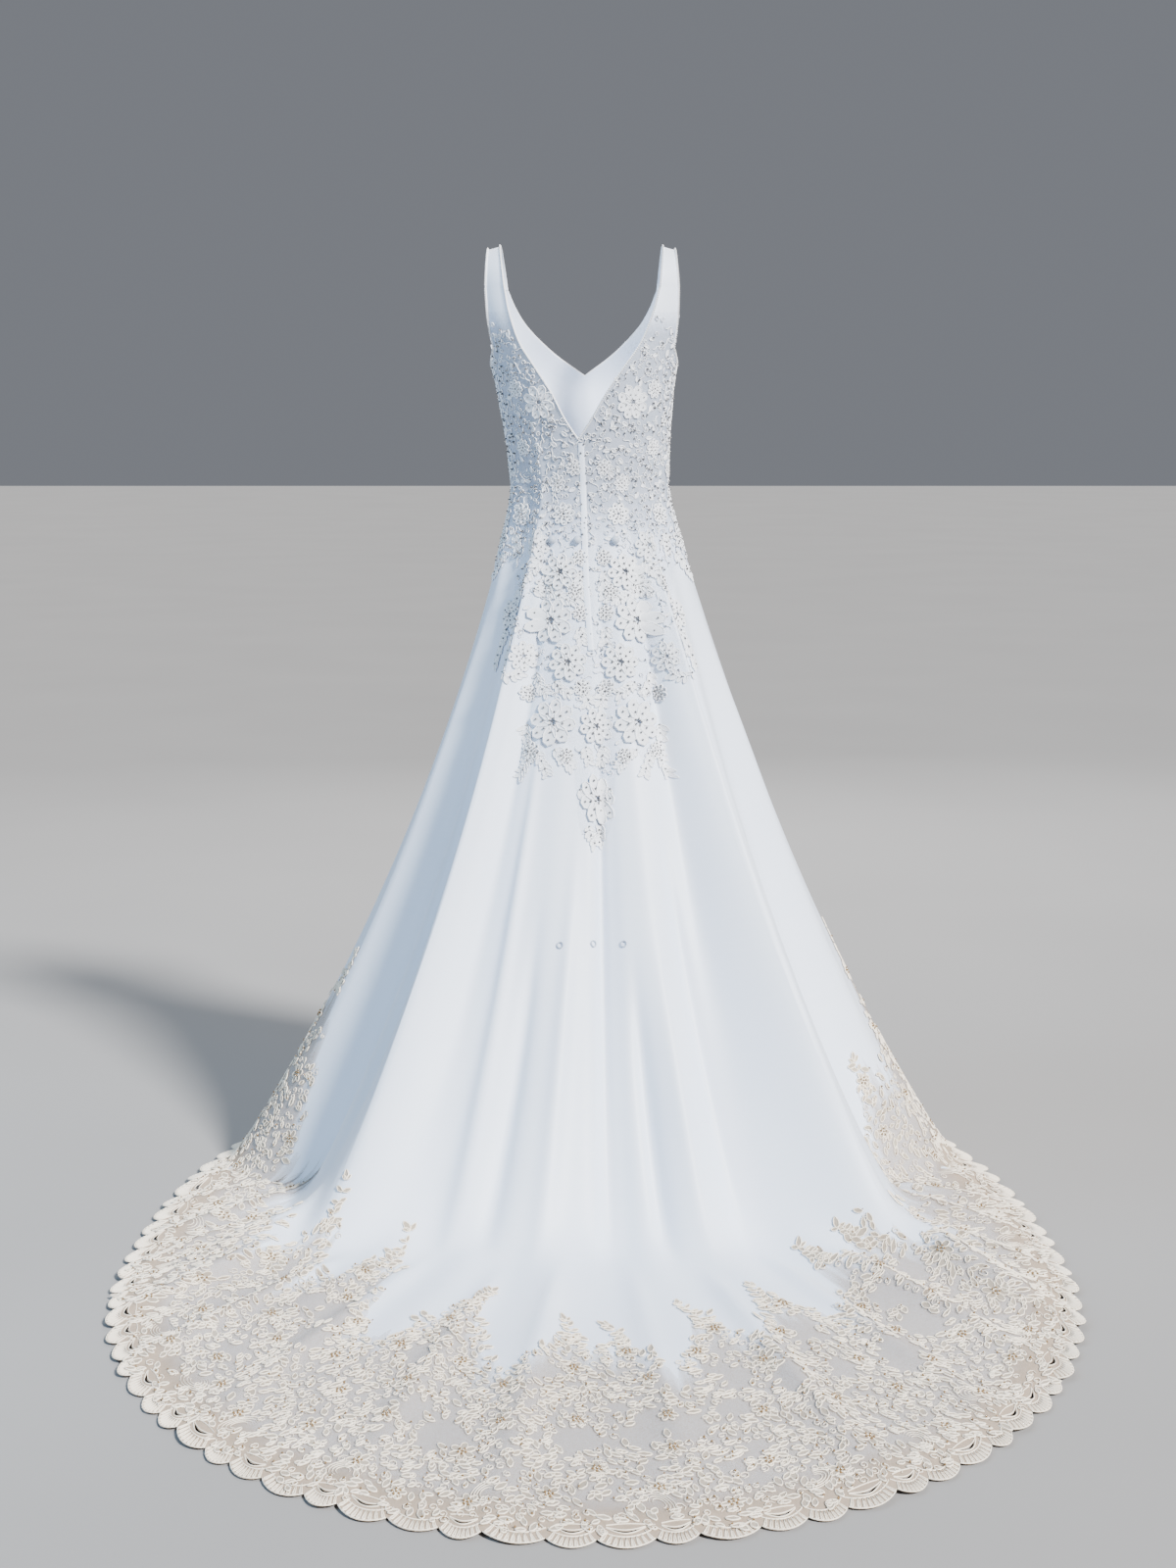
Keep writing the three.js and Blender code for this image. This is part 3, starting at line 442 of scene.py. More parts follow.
CLOTH_UV = ("ShaderNodeUVMap", {"uv_map": "cloth"})
SATIN_TONES = ((0.68, 0.78, 0.95), (0.80, 0.87, 1.0))
satin = satin_material("satin", CLOTH_UV, SATIN_TONES)
# a darker, bluer copy of the satin for the buttons and loops: its tones are painted shade
SHADED_COVER_TONES = ((0.36, 0.42, 0.52), (0.50, 0.56, 0.67))
OBJECT_PLACE = ("ShaderNodeTexCoord", None, None, "Object")
covered = satin_material("shaded_covered_satin", OBJECT_PLACE, SHADED_COVER_TONES)
print("satin", SATIN_TONES, "covered satin", SHADED_COVER_TONES)

# %% [markdown]
# The lace has three kinds of finish: corded thread with a fine twist, the net that carries it, and beads. The
# net is mostly air, so its alpha follows small cells with thin walls, and it closes up towards the scallops,
# where the lace is embroidered solid. The hem's thread is a warmer ivory than the bodice's white. Inside a
# petal or leaf the thread lies thinner and sunk, and an attribute named fill darkens it there: painted shade.
# The nets are painted darker than the real net, blue-grey on the bodice and brown at the hem, as painted
# shade between the cords, and the silver-lined beads are painted near black, a painted dark reflection. Very
# bright tones look alike in a render, so the tones of thread and net are set further apart than they look.

# %% Lace thread, net and beads
def thread_material(name, tones, fill_shade_weight):
    material, shader, start = new_material(name, {"Sheen Weight": 0.15, "Specular IOR Level": 0.3})
    where = start.node(*OBJECT_PLACE)
    twist = noise(start, where, 900.0)
    cloud = noise(start, where, 9.0)
    # fill marks the sunk inside of petals and leaves, and taking it from the tone paints shade there
    fill = start.node("ShaderNodeAttribute", {"attribute_name": "fill"}, output="Fac")
    feed(shader, "Base Color", (0.60 + cloud * 0.4 + twist * 0.2 - fill * fill_shade_weight).blend(*tones))
    feed(shader, "Roughness", 0.50 + twist * 0.25)
    feed(shader, "Normal", bump(start, twist, 0.4, 0.0003))
    return material


def net_material(name, tones, open_cover):
    material, shader, start = new_material(name, {"Specular IOR Level": 0.2})
    where = start.node(*CLOTH_UV)
    cells = {"feature": "DISTANCE_TO_EDGE"}
    wall = start.node("ShaderNodeTexVoronoi", cells, {"Vector": where, "Scale": 420.0}, output="Distance")
    threads = start.calc("LESS_THAN", wall, 0.09)
    cover = start.node("ShaderNodeAttribute", {"attribute_name": "cover"}, output="Fac")
    feed(shader, "Base Color", noise(start, where, 40.0).blend(*tones))
    feed(shader, "Roughness", 0.60 + threads * 0.15)
    solid = cover + threads * 0.20 + open_cover
    feed(shader, "Alpha", start.calc("MINIMUM", solid, 1.0))
    return material


def bead_material(name, tones, metallic):
    material, shader, start = new_material(name, {"Metallic": metallic, "Coat Weight": 0.5})
    where = start.node(*OBJECT_PLACE)
    fleck = noise(start, where, 320.0)
    feed(shader, "Base Color", fleck.blend(*tones))
    feed(shader, "Roughness", 0.12 + fleck * 0.2)
    return material


# the low tones are reached where fill paints shade inside petals and leaves
white_thread = thread_material("white_thread", ((0.46, 0.52, 0.62), (0.93, 0.955, 1.0)), 0.36)
ivory_thread = thread_material("ivory_thread", ((0.20, 0.16, 0.12), (1.0, 0.92, 0.79)), 0.72)
# the nets' dark blue-grey and brown tones are painted shade between the cords
shaded_white_net = net_material("shaded_white_net", ((0.34, 0.40, 0.51), (0.48, 0.53, 0.63)), 0.0)
shaded_ivory_net = net_material("shaded_ivory_net", ((0.32, 0.25, 0.19), (0.46, 0.37, 0.29)), 0.06)
# the silver-lined beads' near-black tone is a painted dark reflection
shaded_silver_bead = bead_material("shaded_silver_bead", ((0.01, 0.01, 0.012), (0.20, 0.20, 0.21)), 0.1)
pearl_bead = bead_material("pearl_bead", ((0.60, 0.61, 0.64), (0.96, 0.97, 1.0)), 0.0)
amber_bead = bead_material("amber_bead", ((0.05, 0.03, 0.01), (0.36, 0.22, 0.09)), 0.2)
print("materials", [material.name for material in bpy.data.materials])

# %% [markdown]
# ## Cloth sheets
# Each cut piece starts as a flat grid, as cloth does. Its corners are then moved to the formula's points,
# and a Solidify modifier gives it the thickness of the cloth. The UV map keeps lengths along the cloth. A
# sheet could also be pinned and draped by Blender's Cloth, but then two panels would not meet at a seam.

# %% Sheet helpers
def lengths(points, axis):
    steps = np.linalg.norm(np.diff(points, axis=axis), axis=2)
    pad = [(0, 0), (0, 0)]
    pad[axis] = (1, 0)
    return np.pad(np.cumsum(steps, axis=axis), pad)


def sheet_mesh(name, points, gaps=None, cover=None):
    """A grid of points as a mesh. Rows run down the cloth and columns across it."""
    rows, columns = points.shape[0] - 1, points.shape[1] - 1
    grid = bmesh.new()
    bmesh.ops.create_grid(grid, x_segments=columns, y_segments=rows, size=1)
    grid.verts.ensure_lookup_table()
    if gaps is not None:
        middles = [(face, face.calc_center_median()) for face in grid.faces]
        open_faces = [
            face for face, m in middles if gaps[int((1 - m.y) / 2 * rows), int((m.x + 1) / 2 * columns)]
        ]
        bmesh.ops.delete(grid, geom=open_faces, context="FACES")
    for edge in grid.edges:
        edge.smooth = not edge.is_boundary
    mesh = bpy.data.meshes.new(name)
    grid.to_mesh(mesh)
    grid.free()
    flat = np.empty(len(mesh.vertices) * 3)
    mesh.vertices.foreach_get("co", flat)
    flat = flat.reshape(-1, 3)
    i = np.rint((1 - flat[:, 1]) / 2 * rows).astype(int)
    j = np.rint((flat[:, 0] + 1) / 2 * columns).astype(int)
    mesh.vertices.foreach_set("co", points[i, j].ravel())
    corners = np.empty(len(mesh.loops), int)
    mesh.loops.foreach_get("vertex_index", corners)
    layout = np.stack([lengths(points, 1)[i, j], -lengths(points, 0)[i, j]], 1)
    mesh.uv_layers.new(name="cloth").data.foreach_set("uv", layout[corners].ravel())
    if cover is not None:
        shade = mesh.attributes.new("cover", "FLOAT", "POINT")
        shade.data.foreach_set("value", cover[i, j])
    mesh.update()
    return mesh


def add_piece(name, mesh, material, nodes=(), thickness=None):
    piece = bpy.data.objects.new(name, mesh)
    bpy.context.collection.objects.link(piece)
    mesh.materials.append(material)
    mesh.shade_smooth()
    if thickness:
        wall = piece.modifiers.new("wall", "SOLIDIFY")
        wall.thickness = thickness
        wall.offset = -1
    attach(piece, "root")
    if nodes:
        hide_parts(*nodes)
    return piece


# %% [markdown]
# ## The cut of the panels
# Every panel has shares across it and rows down it. On the bodice its columns fan between the neck or seam
# lines; below the waist they ease over to the angles that share the hem evenly, as gores do.

# %% Seam and edge lines
def angle_across(across, height):
    low, high = np.zeros_like(across), np.full_like(across, 85.0)
    return halve(lambda a: torso_radius(a, height) * np.sin(np.radians(a)) > across, low, high)


def angle_from_front(across, height):
    low, high = np.zeros_like(across), np.full_like(across, 85.0)
    return halve(lambda a: torso_radius(180 - a, height) * np.sin(np.radians(a)) > across, low, high)


neck_heights = np.linspace(NECK_BACK_LOW, STRAP_FOOT, 240)
neck_angles = angle_across(read(NECK_BACK, neck_heights), neck_heights)
armhole_heights = np.linspace(ARMHOLE[0, 0], STRAP_FOOT, 120)
armhole_angles = angle_across(read(ARMHOLE, armhole_heights), armhole_heights)
foot_height = np.array([STRAP_FOOT])
front_neck_foot = float(angle_from_front(NECK_FRONT[-1:, 1], foot_height)[0])
front_arm_foot = float(angle_from_front(ARMHOLE[-1:, 1], foot_height)[0])
NECK_SHARE = front_neck_foot / front_arm_foot
print("strap feet in front:", round(front_neck_foot, 1), "to", round(front_arm_foot, 1), "degrees")


def back_angle(share, level, side):
    """The centre back seam and the neck lean to the left, so the two halves differ."""
    neck = np.where(level > NECK_BACK_LOW, np.interp(level, neck_heights, neck_angles), 0.0)
    arm = np.interp(level, armhole_heights, armhole_angles)
    outer = np.where(level > ARMHOLE[0, 0], arm, read(PRINCESS_SEAM, level))
    return mix(neck + side * read(CENTRE_LEAN, level), outer, share)


def side_angle(share, level, side):
    return mix(read(PRINCESS_SEAM, level), SIDE_FRONT, share)


def side_top(share):
    return read(UNDERARM, mix(UNDERARM[0, 0], SIDE_FRONT, share))


def front_half_angle(level):
    share = np.clip((level - UNDERARM[-1, 1]) / (STRAP_FOOT - UNDERARM[-1, 1]), 0, 1)
    return mix(180 - SIDE_FRONT, front_arm_foot, share)


def front_angle(share, level, side=1):
    return 180 + (2 * share - 1) * front_half_angle(level)


def front_top(share):
    from_centre = np.abs(2 * share - 1)

    def outside(level):
        angle = from_centre * front_half_angle(level)
        across = torso_radius(180 - angle, level) * np.sin(np.radians(angle))
        return across < read(NECK_FRONT, level)

    top = halve(outside, np.full_like(share, NECK_FRONT_LOW), np.full_like(share, STRAP_FOOT))
    return np.where(from_centre >= NECK_SHARE - 1e-6, STRAP_FOOT, top)


def back_top(share):
    return np.full_like(share, STRAP_FOOT)


# %% Cuts and their grids
# name: angle of a share, top of a share, hem angles of the two edges, columns
CUTS = {
    "back": (back_angle, back_top, 0, PRINCESS, 60),
    "side": (side_angle, side_top, PRINCESS, SIDE_FRONT, 46),
    "front": (front_angle, front_top, SIDE_FRONT, 360 - SIDE_FRONT, 48),
}
BODICE_ROWS, SLOPE_ROWS, FOOT_ROWS = 36, 60, 68
FOOT_LEVEL = 0.150
GORE_EASE = 0.4


def panel_angle(cut, share, level, side=1):
    """The angle of a panel's share at a level. The left side's is counted the other way."""
    angle_of, _, first, last, _ = CUTS[cut]
    spread = smooth(np.clip((WAIST - level) / GORE_EASE, 0, 1))
    hem = even_hem_angles(first, last, share)
    return mix(angle_of(share, level, side), np.where(hem < first - 1, hem + 360, hem), spread)


def column_shares(cut):
    """Shares of a panel's columns: closer at the strap feet of the front and at the ridge of the side."""
    share = np.linspace(0, 1, CUTS[cut][4] + 1)
    if cut == "front":
        return np.interp(share, [0, 0.08, 0.92, 1], [0, (1 - NECK_SHARE) / 2, (1 + NECK_SHARE) / 2, 1])
    return share * (0.55 + 0.45 * share) if cut == "side" else share


def panel_places(cut, mirror):
    """Angles and levels of a panel's grid, with a small gap at both seams."""
    _, top_of, first, last, _ = CUTS[cut]
    share = column_shares(cut)
    top = top_of(share)
    hem = even_hem_angles(first, last, share)
    hem = -hem if mirror else hem
    bottom = level_at_radius(hem, round_value(HEM_RADIUS, hem) - CLOTH_HEM_INSET)
    rows = [
        mix(top[None], WAIST, np.linspace(0, 1, BODICE_ROWS + 1)[:-1, None]),
        mix(WAIST, FOOT_LEVEL, np.linspace(0, 1, SLOPE_ROWS + 1)[:-1, None]) + 0 * top,
        mix(FOOT_LEVEL, bottom[None], np.linspace(0, 1, FOOT_ROWS + 1)[:, None]),
    ]
    level = np.concatenate(rows)
    angle = panel_angle(cut, share[None] + 0 * level, level, -1 if mirror else 1)
    gap = np.degrees(SEAM_OPEN / 2 / np.hypot(*dress_point(angle, level)[..., :2].transpose(2, 0, 1)))
    angle[:, 0] += gap[:, 0]
    angle[:, -1] -= gap[:, -1]
    if mirror:
        return -angle[:, ::-1], level[:, ::-1]
    return angle, level


# %% The satin panels
for cut, mirror, name in [
    ("back", False, "back_panel_right"),
    ("back", True, "back_panel_left"),
    ("side", False, "side_panel_right"),
    ("side", True, "side_panel_left"),
    ("front", False, "front_panel"),
]:
    points = dress_point(*panel_places(cut, mirror))
    panel = add_piece(f"satin_{name}", sheet_mesh(name, points), satin, [name], SATIN_WALL)

# %% [markdown]
# ## Straps and zip lap
# The straps run over the shoulders between the panels' feet, in a half circle that leans with the neck. A
# narrow lap covers the zip below the V of the neck. Both could be curves with a flat bevel; as grids they
# get the same grain and thickness as the panels.

# %% Straps
# how far a strap rises, how much less at the armhole, how far its edges move at the crest
STRAP_RISE, STRAP_TILT, STRAP_NECK_SHIFT, STRAP_ARM_SHIFT = 0.064, 0.005, 0.007, 0.003


def strap_points(side, columns=10, rows=72):
    share, turn = np.meshgrid(np.linspace(0, 1, columns + 1), np.linspace(1, 0, rows + 1))
    from_neck = share if side > 0 else 1 - share
    crest = np.sin(turn * math.pi)
    neck_edge = NECK_BACK[-1, 1] + STRAP_NECK_SHIFT * crest
    across = mix(neck_edge, ARMHOLE[-1, 1] - STRAP_ARM_SHIFT * crest, from_neck)
    foot = dress_point(side * angle_across(across, np.full_like(across, STRAP_FOOT)), STRAP_FOOT)
    height = STRAP_FOOT + SEAM_OPEN + (STRAP_RISE - STRAP_TILT * from_neck) * crest
    x = foot[..., 0] + read(SWAY, height) - read(SWAY, STRAP_FOOT)
    return np.stack([x, foot[..., 1] * np.cos(turn * math.pi), height - SHOULDER], -1)


for side, name in [(1, "strap_right"), (-1, "strap_left")]:
    points = strap_points(side)
    mesh = sheet_mesh(name, points)
    add_piece(f"satin_{name}", mesh, satin, [name], SATIN_WALL)

# %% Zip lap
LAP_START, LAP_WIDTH, LAP_WALL = NECK_BACK_LOW - 0.006, 0.009, 0.001
LAP_RISE, LAP_ROUNDING = 0.0030, 0.0008
lap_levels = np.linspace(LAP_START, ZIP_END, 90)
lap_share = np.linspace(0, 1, 7)
lap_radius = np.hypot(*dress_point(0, lap_levels)[:, :2].T)
lap_seam = panel_angle("back", np.zeros_like(lap_levels), lap_levels)
lap_angles = lap_seam[:, None] + np.degrees(LAP_WIDTH * lap_share / lap_radius[:, None])
lap_points = dress_point(lap_angles, lap_levels[:, None])
lap_lift = LAP_RISE - LAP_ROUNDING * (2 * lap_share - 1) ** 4
lap_points = lap_points + dress_frame(lap_angles, lap_levels[:, None])[2] * lap_lift[:, None]
zip_lap = add_piece("satin_zip_lap", sheet_mesh("zip_lap", lap_points), satin, ["zip_lap"], LAP_WALL)

# %% [markdown]
# ## Cords
# Corded lace is thread couched down on a net. Each motif is a flat path in its own small coordinates. It is
# turned, sized and laid on the cloth by the formula, and a slim tube is swept along it. Curves with a bevel
# would do for a few motifs. There are many thousands, so all tubes of one kind are worked out together as
# arrays and joined into one mesh, with three sides to a tube.

# %% Laying a path on the cloth
# how much longer motifs are on the floor, the level where that starts, and the way down until it is full
TRAIN_STRETCH, STRETCH_START, STRETCH_RUN = 0.5, 0.10, 0.25


def train_stretch(level):
    """Motifs are drawn out where the cloth lies flat on the floor."""
    return 1 + TRAIN_STRETCH * smooth(np.clip((STRETCH_START - level) / STRETCH_RUN, 0, 1))


def lay(angle, level, turn, size, path):
    """Points of a flat path laid on the cloth at many places, with each place's normal."""
    round_by, up_by, normal = dress_frame(angle, level)
    width = np.linalg.norm(round_by, axis=-1)[:, None]
    east = unit(round_by)
    lean = np.sum(up_by * east, -1)[:, None]
    tall = np.sqrt(np.maximum(np.sum(up_by ** 2, -1)[:, None] - lean ** 2, 1e-8))
    c, s = np.cos(turn)[:, None], np.sin(turn)[:, None]
    scale = np.asarray(size)[:, None]
    x = (path[:, 0] * c - path[:, 1] * s) * scale
    y = (path[:, 0] * s + path[:, 1] * c) * scale * train_stretch(level)[:, None]
    d_level = y / tall
    d_angle = (x - lean * d_level) / width
    return dress_point(angle[:, None] + d_angle, level[:, None] + d_level), normal[:, None, :]


# %% Tubes and beads in piles
def sweep(points, normals, radius, closed, lift, sides=3, fill=False):
    """Tubes along many paths at once: their corners, their faces and the faces that fill closed ones."""
    count, stations = points.shape[:2]
    if closed:
        along = np.roll(points, -1, 1) - np.roll(points, 1, 1)
    else:
        along = np.gradient(points, axis=1)
    normals = np.broadcast_to(normals, points.shape)
    aside = unit(np.cross(unit(along), normals))
    radius = np.broadcast_to(np.asarray(radius, float), (count, stations))[..., None]
    middle = points + normals * (lift + radius * 0.5)
    turns = math.pi / 2 + 2 * math.pi * np.arange(sides) / sides
    rings = [middle + radius * (math.cos(t) * aside + math.sin(t) * normals) for t in turns]
    corners = np.stack(rings, 2)
    index = np.arange(count * stations * sides).reshape(count, stations, sides)
    ahead = np.roll(index, -1, 1)
    if not closed:
        index, ahead = index[:, :-1], ahead[:, :-1]
    quads = np.stack([index, ahead, np.roll(ahead, -1, 2), np.roll(index, -1, 2)], -1).reshape(-1, 4)
    corners = corners.reshape(-1, 3)
    fans = np.zeros((0, 3), int)
    if fill:
        heart = middle.mean(1, keepdims=True) - normals[:, :1] * radius[:, :1] * 0.7
        patch = np.concatenate([middle, heart], 1)
        spot = len(corners) + np.arange(count * (stations + 1)).reshape(count, stations + 1)
        rim = spot[:, :-1]
        hub = np.broadcast_to(spot[:, -1:], rim.shape)
        fans = np.stack([rim, np.roll(rim, -1, 1), hub], -1).reshape(-1, 3)
        corners = np.concatenate([corners, patch.reshape(-1, 3)])
    return corners, quads, fans


class Pile:
    """Many small shapes gathered into one mesh."""

    def __init__(self):
        self.corners, self.quads, self.fans, self.fill, self.total = [], [], [], [], 0

    def add(self, corners, quads, fans=np.zeros((0, 3), int), shade=1.0):
        self.corners.append(corners)
        # the fill faces of a shape get this much painted shade
        self.fill.append((np.arange(len(corners)) > quads.max(initial=-1)) * shade)
        self.quads.append(quads + self.total)
        self.fans.append(fans + self.total)
        self.total += len(corners)

    def mesh(self, name):
        corners = np.concatenate(self.corners)
        quads, fans = np.concatenate(self.quads), np.concatenate(self.fans)
        starts = np.concatenate([np.arange(len(quads)) * 4, quads.size + np.arange(len(fans)) * 3])
        mesh = bpy.data.meshes.new(name)
        mesh.vertices.add(len(corners))
        mesh.vertices.foreach_set("co", corners.ravel())
        mesh.loops.add(quads.size + fans.size)
        mesh.loops.foreach_set("vertex_index", np.concatenate([quads.ravel(), fans.ravel()]))
        mesh.polygons.add(len(starts))
        mesh.polygons.foreach_set("loop_start", starts)
        # the attribute fill carries the painted shade of the fill faces
        mesh.attributes.new("fill", "FLOAT", "POINT").data.foreach_set("value", np.concatenate(self.fill))
        mesh.update(calc_edges=True)
        mesh.validate()
        print(f"{name}: {2 * len(quads) + len(fans)} triangles")
        return mesh


# width and height of a bead's three rings, in radii
BEAD_RINGS = [(0.7, 0.0), (1.0, 0.8), (0.25, 1.75)]


def beads_at(centres, normals, radius):
    """Small round beads that stand on the cloth."""
    sides = 5
    east = unit(np.cross(normals, np.array([0.31, 0.17, 0.93])))
    north = np.cross(normals, east)
    turns = 2 * math.pi * np.arange(sides) / sides
    radius = np.broadcast_to(np.asarray(radius, float), (len(centres),))[:, None]
    rings = []
    for wide, high in BEAD_RINGS:
        ways = [wide * (math.cos(t) * east + math.sin(t) * north) + high * normals for t in turns]
        rings.append(np.stack([centres + radius * way for way in ways], 1))
    corners = np.stack(rings, 1)
    index = np.arange(len(centres) * 3 * sides).reshape(len(centres), 3, sides)
    around = np.roll(index, -1, 2)
    quads = np.stack([index[:, :-1], around[:, :-1], around[:, 1:], index[:, 1:]], -1)
    return corners.reshape(-1, 3), quads.reshape(-1, 4)


# %% [markdown]
# The motifs are ordinary ones of corded lace: flowers of round corded petals, pointed leaves, open curls, and
# the ribbed shells of the scallops. Each is a short formula, so its outline can be changed in one place.

# %% Paths of the motifs
def loop_path(wide, long, stations, point=1.0, base=0.0):
    """A closed petal or leaf from (0, base), as long as it says."""
    t = 2 * math.pi * np.arange(stations) / stations
    side = np.sign(np.sin(t)) * np.abs(np.sin(t)) ** point
    return np.stack([wide / 2 * side, base + long * (1 - np.cos(t)) / 2], 1)


def curl_path(turns, stations, tightness):
    """An open curl that winds in to its end."""
    t = np.linspace(0, 1, stations)
    reach = mix(1.0, tightness, t)
    around = 2 * math.pi * turns * t
    return np.stack([reach * np.cos(around), reach * np.sin(around)], 1)


def wave_path(stations, bends):
    t = np.linspace(-1, 1, stations)
    return np.stack([t, 0.32 * np.sin(bends * math.pi * t)], 1)


# %% Motifs and how they are added
LEAF = loop_path(0.50, 1.0, 8, 1.6)
PETAL = loop_path(0.54, 0.86, 8, 0.8, 0.14)
CURL = curl_path(1.2, 9, 0.28)
WAVE = wave_path(6, 1.0)
SCROLL = curl_path(0.7, 12, 0.85) * (1.0, 0.7)
RING = curl_path(1.0, 33, 1.0)[:-1]
CLUSTER = np.concatenate([[(0.0, 0.0)], curl_path(1.0, 6, 1.0)[:-1]])
SPOT = np.array([(0.0, 0.0)])
PETAL_BEADS = np.array([(0.0, 0.44), (0.02, 0.76)])
CORD_LIFT, BEAD_LIFT = 0.0014, 0.0016
# the cluster at a flower's heart: its share of the radius, its least size, and its beads if no size is given
HEART_SHARE, LEAST_HEART, HEART_BEAD = 0.16, 0.0048, 0.0019
print("points of a leaf", len(LEAF), "a petal", len(PETAL), "a curl", len(CURL))


def add_leaves(pile, angle, level, turn, size, lift=CORD_LIFT, cord=0.0010):
    points, normals = lay(angle, level, turn, size, LEAF)
    pile.add(*sweep(points, normals, cord, True, lift, fill=True))


def add_curls(pile, angle, level, turn, size, lift=CORD_LIFT, cord=0.0010, path=CURL):
    points, normals = lay(angle, level, turn, size, path)
    taper = cord * mix(1.0, 0.45, np.abs(np.linspace(-1, 1, len(path))) ** 3)
    pile.add(*sweep(points, normals, taper, False, lift))


def add_flowers(pile, beads, angle, level, radius, lift=0.0020, petals=8, cord=0.0011, bead=0.0013):
    """Flowers of corded petals, with beads on the petals and a cluster at the heart."""
    first = chance.uniform(0, math.pi, len(angle))
    for petal in range(petals):
        turn = first + 2 * math.pi * petal / petals
        points, normals = lay(angle, level, turn, radius, PETAL)
        pile.add(*sweep(points, normals, cord, True, lift, fill=True))
        if bead:
            spots, normals = lay(angle, level, turn, radius, PETAL_BEADS)
            add_beads(beads, spots, normals, lift, bead)
    spots, normals = lay(angle, level, first, np.maximum(radius * HEART_SHARE, LEAST_HEART), CLUSTER)
    add_beads(beads, spots, normals, lift, bead or HEART_BEAD)


def add_beads(pile, spots, normals, lift, radius):
    normals = np.broadcast_to(normals, spots.shape).reshape(-1, 3)
    pile.add(*beads_at(spots.reshape(-1, 3) + normals * lift, normals, radius))


# %% [markdown]
# ## Lace of the bodice
# The lace starts just below the straps. It is dense with small curls, leaves and silvery beads over the
# bodice, and opens into flowers with sprays of leaves over the hips, with a point below the zip. The flowers
# and sprays are listed one by one, and the small motifs between them are scattered. A particle system could
# scatter them, but it would not keep them clear of the flowers and inside the lobes.

# %% Where the bodice lace lies
# angle, height of the lower edge
BODICE_EDGE = np.array([
    (0, 0.572), (5, 0.590), (9, 0.690), (14, 0.735), (21, 0.682), (26, 0.740), (31, 0.826), (38, 0.818),
    (44, 0.822), (52, 0.945), (64, 0.985), (78, 0.955), (90, 0.985), (110, 1.000), (140, 0.960),
    (160, 0.985), (180, 0.860),
])
LACE_TOP = 1.372
# angle, height, radius; on both sides of the zip
LARGE_FLOWERS = [
    (37, 1.235, 0.027), (23, 0.974, 0.029), (26, 0.900, 0.036), (14, 0.838, 0.030), (19, 0.748, 0.037),
]
# name, height, radius; on the centre back seam
CENTRE_FLOWERS = [("lace_flower_upper", 0.742, 0.028), ("lace_flower_point", 0.634, 0.039)]
SMALL_FLOWERS = [
    (42, 1.014, 0.026), (24, 1.062, 0.018), (9, 0.996, 0.013), (79, 1.022, 0.022), (62, 1.060, 0.018),
    (54, 0.906, 0.024), (37, 0.846, 0.024), (27, 0.704, 0.015), (8, 0.912, 0.013), (33, 0.790, 0.014),
    (12, 0.700, 0.012), (31, 0.955, 0.016), (12, 0.945, 0.013), (44, 0.955, 0.014), (6, 0.800, 0.014),
    (14, 1.135, 0.013), (58, 1.165, 0.014), (30, 1.110, 0.013), (80, 1.130, 0.014), (55, 1.255, 0.015),
    (88, 1.220, 0.014), (104, 1.060, 0.020), (102, 1.150, 0.015), (125, 1.030, 0.022), (148, 1.000, 0.022),
    (168, 0.935, 0.024), (160, 1.090, 0.018), (136, 1.120, 0.015), (128, 1.230, 0.015), (150, 1.230, 0.015),
    (172, 1.180, 0.014), (140, 1.320, 0.014),
]
# lines of leaves: angle and height along each
SPRAYS = [
    [(37, 0.990), (46, 0.953), (50, 0.928)], [(54, 0.882), (56, 0.856), (58, 0.826)],
    [(38, 0.944), (27, 0.942), (15, 0.930), (9, 0.934)], [(9, 0.975), (8.5, 0.935)], [(8, 0.890), (7, 0.868)],
    [(46, 0.838), (44, 0.824), (40, 0.815), (37, 0.820)], [(30, 0.820), (27, 0.800), (24, 0.792)],
    [(20, 0.808), (16, 0.796), (11, 0.790)], [(8, 0.806), (3, 0.782), (4, 0.770)],
    [(31, 0.742), (29, 0.716), (28, 0.690), (30, 0.668)], [(24, 0.702), (21, 0.686), (19, 0.672)],
    [(17, 0.708), (12, 0.692), (9, 0.680)], [(4, 0.712), (2.5, 0.686)], [(6, 0.650), (4, 0.640)],
    [(2.4, 0.596), (2.0, 0.584), (0.6, 0.570)], [(46, 0.900), (44, 0.870), (47, 0.845)],
    [(70, 1.000), (76, 0.975), (82, 0.962)], [(64, 1.030), (60, 0.998)], [(92, 1.020), (97, 1.003)],
    [(176, 0.905), (178, 0.878)], [(160, 1.010), (152, 0.975)], [(118, 0.990), (132, 0.972)],
]
print("flowers", 2 * len(LARGE_FLOWERS + SMALL_FLOWERS) + len(CENTRE_FLOWERS), "sprays", 2 * len(SPRAYS))


# %% Net of the bodice
NET_ROWS, NET_LIFT = 60, 0.0010
# the lobes are read at the hip; above it the net thickens over a height, and it fades out at the top
LOBE_LEVEL, HIP_LEVEL, HIP_BLEND, TOP_FADE, NET_COVER = 0.75, 1.00, 0.12, 0.05, 0.75


def edge_height(angle):
    return read(BODICE_EDGE, np.abs(wrap(angle)))


def bodice_net(cut, mirror):
    """A grid of the lace's ground, from its top edge to its lobes."""
    share = column_shares(cut)
    high = np.minimum(CUTS[cut][1](share), LACE_TOP)
    low = edge_height(panel_angle(cut, share, np.full_like(share, LOBE_LEVEL)))
    level = mix(high[None], low[None], np.linspace(0, 1, NET_ROWS + 1)[:, None])
    angle = panel_angle(cut, share[None] + 0 * level, level, -1 if mirror else 1)
    if mirror:
        return -angle[:, ::-1], level[:, ::-1]
    return angle, level


def raised(angle, level, lift):
    return dress_point(angle, level) + dress_frame(angle, level)[2] * lift


